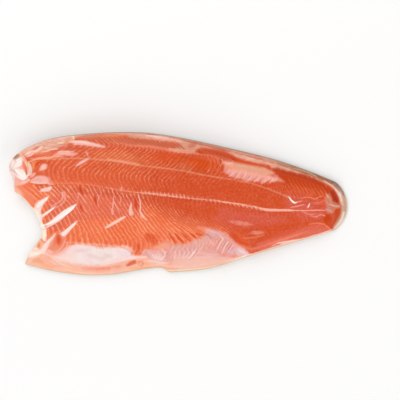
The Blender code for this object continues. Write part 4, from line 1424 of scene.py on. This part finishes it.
@dataclass(frozen=True)
class FilmFinish(Finish):
    """Clear clinging film where a fold catches the light: its crest is painted white as a highlight, and its edge
    is clear.
    """

    name: str = "film"
    body: Colour = linear(246, 172, 146)
    # The crest's colour is a painted highlight.
    crest: Colour = linear(255, 240, 232)
    plain: dict = field(default_factory=lambda: {
        "Metallic": 0.0, "IOR": 1.45, "Specular IOR Level": 0.3, "Roughness": 0.25, "Coat Weight": 0.5,
        "Coat Roughness": 0.1})

    def make(self, effects: Effects) -> bpy.types.Material:
        """Builds the material.

        Args:
            effects: The shared node groups.

        Returns:
            The film's material.
        """
        made, graph, shader = self.start()
        crest = graph.attribute("crest")
        # Painted highlight: white towards a fold's crest, as strong as the fold's whiteness.
        white = graph.product(graph.between(crest, low=0.0, high=0.7), graph.attribute("white"))
        inside = graph.math("MULTIPLY_ADD", crest, 3.0, -1.5)
        thin = graph.group(effects.ragged, Vector=graph.place(), Distance=inside, Softness=0.35,
                           Raggedness=0.3, Scale=350.0)
        graph.fill(shader, {"Base Color": graph.mix(white, self.body, self.crest), "Alpha": thin.outputs[0]})
        return made


# ---------------------------------------------------------------- pieces

def store(mesh: bpy.types.Mesh, name: str, values: Array) -> None:
    """Writes one number a point as a mesh attribute."""
    made = mesh.attributes.get(name) or mesh.attributes.new(name, "FLOAT", "POINT")
    made.data.foreach_set("value", np.asarray(values, np.float32).ravel())


def write(shape: bmesh.types.BMesh, mesh: bpy.types.Mesh) -> bpy.types.Mesh:
    """Turns a shape's faces outwards and moves it into a mesh.

    Args:
        shape: The shape, which is freed.
        mesh: The mesh.

    Returns:
        The mesh.
    """
    bmesh.ops.recalc_face_normals(shape, faces=shape.faces[:])
    shape.to_mesh(mesh)
    shape.free()
    return mesh


def ringed_sheet(name: str, cells: tuple[int, int], rings: int) -> tuple[bpy.types.Mesh, Array, Array, Array]:
    """A flat sheet with rings extruded round its border and one face across the last.

    Args:
        name: The mesh's name.
        cells: The sheet's cells along and across.
        rings: How many rings.

    Returns:
        The mesh, and each point's share along, its share across and its ring, 0 on the sheet.
    """
    sheet = bmesh.new()
    bmesh.ops.create_grid(sheet, x_segments=cells[0], y_segments=cells[1], size=0.5)
    titles = ("along", "across", "ring")
    along, across, ring = (sheet.verts.layers.float.new(title) for title in titles)
    for vert in sheet.verts:
        vert[along], vert[across] = vert.co.x + 0.5, vert.co.y + 0.5
    for number in range(1, rings + 1):
        border = [edge for edge in sheet.edges if edge.is_boundary]
        for vert in bmesh.ops.extrude_edge_only(sheet, edges=border)["geom"]:
            if isinstance(vert, bmesh.types.BMVert):
                vert[ring] = number
    bmesh.ops.contextual_create(sheet, geom=[edge for edge in sheet.edges if edge.is_boundary])
    mesh = write(sheet, bpy.data.meshes.new(name))
    values = np.zeros((3, len(mesh.vertices)), np.float32)
    for title, row in zip(titles, values):
        mesh.attributes[title].data.foreach_get("value", row)
    return (mesh, *values.astype(float))


def settle(mesh: bpy.types.Mesh, points: Array) -> None:
    """Moves a mesh's points to their places, in metres, and turns its faces outwards.

    Args:
        mesh: The mesh.
        points: One place a point.
    """
    mesh.vertices.foreach_set("co", points.astype(np.float32).ravel())
    shape = bmesh.new()
    shape.from_mesh(mesh)
    write(shape, mesh)


def add_piece(mesh: bpy.types.Mesh, material: bpy.types.Material, slot: Optional[str] = None) -> bpy.types.Object:
    """Links a mesh as a piece of the fillet, under the mesh's own name.

    Args:
        mesh: The finished mesh, in metres.
        material: Its finish.
        slot: The solid that it stands for and the record's material slot of that name, if any.

    Returns:
        The new object.
    """
    mesh.materials.append(material)
    made = bpy.data.objects.new(mesh.name, mesh)
    bpy.context.scene.collection.objects.link(made)
    mesh.shade_smooth()
    mesh.set_sharp_from_angle(angle=SHARP)
    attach(made, "root")
    if slot:
        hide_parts(slot)
    log.info("%s: %d points, %d faces", made.name, len(mesh.vertices), len(mesh.polygons))
    return made


@dataclass
class Flesh:
    """The flesh with its flakes, from one grid whose columns follow the flakes."""

    plan: Plan
    flakes: Flakes
    markings: Markings
    columns: int = 5
    rows: tuple[int, ...] = (44, 80, 34, 26, 22)
    groove: float = 0.22
    line_grooves: tuple[tuple[str, float], ...] = (("septum", 0.5), ("loin", 0.35))
    line_width: float = 1.3
    rings: tuple[float, ...] = (0.13, 0.5, 1.0)
    gap: float = 0.15
    septum_width: Points = knots("-150,.2 -60,.3 -28,.35 -18,.7 0,.9 14,.6 40,.5 60,.65 80,.7 104,.8 126,.8 134,.3"
                                 " 160,.3")
    septum_light: Points = knots("-150,0 -125,.35 -60,.6 -25,.8 0,1 128,1 145,.5 162,.4 166,0")

    def mark(self, mesh: bpy.types.Mesh, x: Array, y: Array) -> None:
        """Stores the distances, values and paint that the finish reads.

        Args:
            mesh: The flesh's mesh.
            x: Its points' plan places.
            y: Its points' plan places.
        """
        for name in ("membrane", "veil", "margin", "cream", "fat", "haze", "cool"):
            store(mesh, name, self.markings.inside(name, x, y))
        for name in ("septum", "loin", "back"):
            store(mesh, name, self.markings.beside(name, x, y))
        for name in ("grain", "tone"):
            store(mesh, name, self.markings.washed(name, x, y))
        store(mesh, "septum_width", through(self.septum_width, x))
        store(mesh, "septum_light", through(self.septum_light, x))
        paint = mesh.attributes.new("paint", "FLOAT_COLOR", "POINT")
        paint.data.foreach_set("color", painted(x, y).astype(np.float32).ravel())

    def build(self, finish: bpy.types.Material) -> bpy.types.Object:
        """Makes the piece.

        Args:
            finish: The flesh's material.

        Returns:
            The piece, standing for the solid flesh.
        """
        plan, flakes = self.plan, self.flakes
        cells = (flakes.count * self.columns, sum(self.rows))
        mesh, step, row, ring = ringed_sheet("flesh_dressed", cells, len(self.rings))
        starts = np.cumsum((0, *self.rows))
        band = np.interp(row * starts[-1], starts, np.arange(len(starts)))
        along = flakes.shifted(plan, flakes.along(step), band)
        across = plan.across(along, band)
        lift = plan.skin + self.gap
        x, y = plan.place(*plan.inset(along, across, [lift] * 4))
        relief = self.groove * flakes.groove(step * flakes.count) * self.markings.washed("grain", x, y)
        for name, depth in self.line_grooves:
            relief = relief + depth * np.exp(-((self.markings.beside(name, x, y) / self.line_width) ** 2))
        points = plan.metres(x, y, plan.top(along, across, band, relief))
        for number, curl in enumerate(self.rings, 1):
            here = ring == number
            points[here] = plan.cup(along[here], band[here], curl, lift)
        settle(mesh, points)
        store(mesh, "flake", step * flakes.count + 1 - flakes.groove_at)
        self.mark(mesh, x, y)
        return add_piece(mesh, finish, "flesh")


@dataclass
class Skin:
    """The skin's thin cup: a scaled outer face, a rim and an inner wall."""

    plan: Plan
    flakes: Flakes
    cells: tuple[int, int] = (240, 100)
    bands: int = 5
    curls: tuple[float, ...] = (0.0, 0.06, 0.13, 0.3, 0.5, 0.75, 1.0)
    rim_rings: tuple[int, int] = (2, 4)

    def build(self, finish: bpy.types.Material) -> bpy.types.Object:
        """Makes the piece.

        Args:
            finish: The skin's material.

        Returns:
            The piece, standing for the solid skin.
        """
        outer = len(self.curls)
        mesh, step, row, ring = ringed_sheet("skin_dressed", self.cells, 2 * outer - 1)
        along, band = self.flakes.along(step), row * self.bands
        points = np.zeros((len(band), 3))
        walls = [(curl, 0.0) for curl in reversed(self.curls)] + [(curl, self.plan.skin) for curl in self.curls]
        for number, (curl, lift) in enumerate(walls):
            here = ring == number
            points[here] = self.plan.cup(along[here], band[here], curl, lift)
        settle(mesh, points)
        store(mesh, "band", band)
        before, after = self.rim_rings
        store(mesh, "rim", (ring >= outer - before) & (ring <= outer + after))
        return add_piece(mesh, finish, "skin")


FOLDS = """
fold .7 1 -139,-30.2,.5 -130,-26,1.2 -119,-19.4,1.8 -108,-11.8,1.9 -100,-5.6,1.2 -95.5,-2.2,.3
fold .4 .8 -140.5,-19,.3 -134,-15,1.1 -127,-10.5,1 -121.5,-6.6,.3
fold .6 .8 -146,-11,1.2 -142.4,-7,2.6 -137.6,-2.8,2.2 -132.6,1,1.3 -128.2,4.4,.3
fold .6 .7 -117.4,-38.8,1.4 -113.6,-36.4,2.4 -107,-30.6,1.9 -101,-25,1.5 -95.8,-20.6,.5
fold .4 .25 -68,-27.6,.5 -60,-22.6,1.6 -52,-17.6,1.9 -45,-13.2,1.4 -39.5,-9.8,.4
fold .4 .15 -36.4,-7.4,2.6 -36.8,-3.5,1.7 -36,.5,.8 -35.8,3.6,.2
fold .4 .1 -28,12.6,.2 -27,8,.5 -25.8,1.5,.7 -26.4,-5,.8 -23.8,-9.4,1.4 -19.4,-13.2,.7
fold .5 1 125.2,20.6,.2 127.4,18.2,.6 130,15.6,.9 132.6,14.4,.8 134.5,15,.3
fold .4 .9 146.8,14.8,.2 146.2,12.6,.5 145.4,10.4,.3
fold .7 1 -183.5,30.5,.6 -180,30.4,1.4 -176.8,31,.8
fold .7 1 -170,34.6,.4 -166.4,36.8,1.6 -162.6,40,1.8 -160.6,41.6,.6
fold .7 1 -171,31.4,.5 -166,28.4,2 -161,25,2.4 -156.4,22.6,.9
fold .7 .1 -171,51.3,.5 -164,48.6,.7 -158,43.6,.7 -154.6,38.6,.8 -153,33,.8 -153.6,27,.6 -155.4,23.6,.3
fold .6 .4 -154.4,41.8,.3 -150.6,37,.6 -149,31.5,.7 -149.4,26.5,.5 -151,23.6,.3
"""


@dataclass
class Film:
    """The film's folds, each a low closed ridge on the flesh.

    Each row of folds has a height, a whiteness, which is the strength of its painted highlight, and a path of x, y
    and half width.
    """

    plan: Plan
    bed: bpy.types.Object
    folds: str = FOLDS
    spacing: float = 0.7
    least_cells: int = 6
    across: int = 8
    spread: float = 1.3
    least_half: float = 0.2
    full_half: float = 0.8
    taper: float = 6.0
    sunk: float = 0.12
    thickness: float = 0.25
    under: float = 2.0
    above: float = 0.1
    probe: float = 0.01
    pressed: float = 0.5

    def surface(self) -> Callable[[float, float], float]:
        """Reads the flesh's surface.

        Returns:
            A function from a plan point to the flesh's height, in millimetres.
        """
        tree = BVHTree.FromObject(self.bed, bpy.context.evaluated_depsgraph_get())

        def height(x: float, y: float) -> float:
            """The flesh's height at a plan point."""
            hit = tree.ray_cast(Vector((*self.plan.metres(x, y, 0.0)[:2], self.above)), Vector((0, 0, -1)))[0]
            return hit.z / MM if hit else self.under

        return height

    def ridge(self, joined: bmesh.types.BMesh, path: Points, tall: float, white: float,
              height: Callable[[float, float], float]) -> None:
        """Adds one fold as a closed strip.

        Args:
            joined: The shape that takes it.
            path: Its path with half widths.
            tall: Its height.
            white: How strongly its crest shows the painted highlight.
            height: The flesh's height at a plan point.
        """
        columns = np.array(path, float).T
        reach = np.concatenate([[0], np.cumsum(np.hypot(*np.diff(columns[:2])))])
        cells = max(self.least_cells, int(reach[-1] / self.spacing))
        before = len(joined.faces)
        strip = bmesh.ops.create_grid(joined, x_segments=cells, y_segments=self.across, size=0.5)["verts"]
        layers = joined.verts.layers.float
        for vert in strip:
            share, side = vert.co.x + 0.5, vert.co.y * 2
            at = np.array([share, max(share - self.probe, 0), min(share + self.probe, 1)]) * reach[-1]
            (x, x0, x1), (y, y0, y1), halves = (through(tuple(zip(reach, column)), at) for column in columns)
            way = math.hypot(x1 - x0, y1 - y0) or 1.0
            half = max(self.spread * halves[0], self.least_half)
            px, py = x - (y1 - y0) / way * side * half, y + (x1 - x0) / way * side * half
            bow = (1 - side * side) * min(1.0, self.taper * share, self.taper * (1 - share))
            lift = (self.pressed * tall * min(1.0, half / self.full_half) + self.sunk) * bow
            vert.co = self.plan.metres(px, py, height(px, py) - self.sunk + lift)
            vert[layers["crest"]], vert[layers["white"]] = bow, white
        made = bmesh.ops.extrude_face_region(joined, geom=joined.faces[:][before:], use_keep_orig=True)["geom"]
        base = [vert for vert in made if isinstance(vert, bmesh.types.BMVert)]
        bmesh.ops.translate(joined, verts=base, vec=(0, 0, -self.thickness * MM))

    def build(self, finish: bpy.types.Material) -> bpy.types.Object:
        """Makes the piece.

        Args:
            finish: The film's material.

        Returns:
            All the folds as one object.
        """
        height, joined = self.surface(), bmesh.new()
        for name in ("crest", "white"):
            joined.verts.layers.float.new(name)
        for _, (tall, white), path in read_rows(self.folds):
            self.ridge(joined, path, tall, white, height)
        return add_piece(write(joined, bpy.data.meshes.new("film_folds")), finish)


# ---------------------------------------------------------------- studio

class Light(Enum):
    """The soft boxes: place in metres, width, depth and power."""

    KEY = ((-0.4, 1.5, 1.2), 2.4, 1.4, 18.5)
    FILL = ((1.5, -1.3, 1.0), 2.2, 1.2, 15.0)
    LOW = ((-0.9, -1.6, 1.0), 2.2, 1.2, 12.5)


@dataclass
class Studio:
    """The pale floor, the soft light and the camera at the photograph's angle."""

    camera_at: tuple[float, float, float] = (0.13676, 0.01619, 0.5797)
    forward: tuple[float, float, float] = (-0.17733, -0.00835, -0.98412)
    up: tuple[float, float, float] = (-0.06599, 0.99781, 0.00343)
    lens: float = 50.0
    sensor: float = 36.0
    clip: tuple[float, float] = (0.01, 50.0)
    floor_size: float = 3.0
    floor_at: float = -0.0002
    floor_fades: tuple[float, float] = (0.5, 1.6)
    floor_finish: dict = field(default_factory=lambda: {
        "Base Color": (0.94, 0.94, 0.94), "Roughness": 0.9, "Specular IOR Level": 0.1})
    world: tuple[float, ...] = (1.0, 0.99, 0.98, 1.0)
    world_strength: float = 0.6
    backdrop: float = 0.86

    def add(self, name: str, data: bpy.types.ID) -> bpy.types.Object:
        """Links an object of the studio.

        Args:
            name: Its name.
            data: Its camera, light or mesh.

        Returns:
            The object.
        """
        made = bpy.data.objects.new(name, data)
        bpy.context.scene.collection.objects.link(made)
        return made

    def camera(self) -> None:
        """Makes the camera and sets it as the scene's."""
        data = bpy.data.cameras.new("camera")
        data.lens, data.sensor_width, (data.clip_start, data.clip_end) = self.lens, self.sensor, self.clip
        forward, up = Vector(self.forward).normalized(), Vector(self.up)
        up = (up - forward * up.dot(forward)).normalized()
        turn = Matrix((forward.cross(up), up, -forward)).transposed().to_4x4()
        bpy.context.scene.camera = self.add("camera", data)
        bpy.context.scene.camera.matrix_world = Matrix.Translation(self.camera_at) @ turn

    def floor(self) -> None:
        """Makes the plain floor, which fades into the surround far away."""
        sheet = bmesh.new()
        bmesh.ops.create_grid(sheet, x_segments=1, y_segments=1, size=self.floor_size)
        mesh = bpy.data.meshes.new("floor")
        sheet.to_mesh(mesh)
        sheet.free()
        material = bpy.data.materials.new("floor")
        material.use_nodes = True
        graph, nodes = Graph(material.node_tree), material.node_tree.nodes
        near = nodes["Principled BSDF"]
        graph.fill(near, self.floor_finish)
        far = graph.node("Emission", {"Strength": self.backdrop, "Color": self.world})
        away = graph.node("VectorMath", {0: graph.place()}, operation="LENGTH").outputs["Value"]
        fading = {0: graph.between(away, *self.floor_fades), 1: near.outputs[0], 2: far.outputs[0]}
        graph.fill(nodes["Material Output"], {"Surface": graph.node("MixShader", fading).outputs[0]})
        mesh.materials.append(material)
        made = self.add("floor", mesh)
        made.location.z = self.floor_at

    def light(self) -> None:
        """Makes the soft boxes and the even surround."""
        for box in Light:
            at, width, depth, power = box.value
            data = bpy.data.lights.new(box.name.lower(), "AREA")
            data.shape, data.size, data.size_y, data.energy = "RECTANGLE", width, depth, power
            made = self.add(box.name.lower(), data)
            made.location = at
            made.rotation_euler = (-Vector(at)).to_track_quat("-Z", "Y").to_euler()
        world = bpy.data.worlds.new("surround")
        world.use_nodes = True
        graph = Graph(world.node_tree)
        seen = graph.node("LightPath", {}).outputs["Is Camera Ray"]
        strength = graph.math("MULTIPLY_ADD", seen, self.backdrop - self.world_strength, self.world_strength)
        graph.fill(world.node_tree.nodes["Background"], {"Color": self.world, "Strength": strength})
        bpy.context.scene.world = world
        bpy.context.scene.view_settings.view_transform = "Standard"


def main() -> None:
    """Builds the studio and every piece in order."""
    logging.basicConfig(level=logging.INFO, format="%(name)s %(message)s")
    log.info("solids: %s", ", ".join(sorted(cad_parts)))
    studio = Studio()
    studio.camera()
    studio.floor()
    studio.light()
    effects, plan, flakes = Effects(), Plan(), Flakes()
    flesh = Flesh(plan, flakes, Markings()).build(FleshFinish().make(effects))
    Skin(plan, flakes).build(SkinFinish().make(effects))
    Film(plan, flesh).build(FilmFinish().make(effects))


if __name__ == "__main__":
    main()
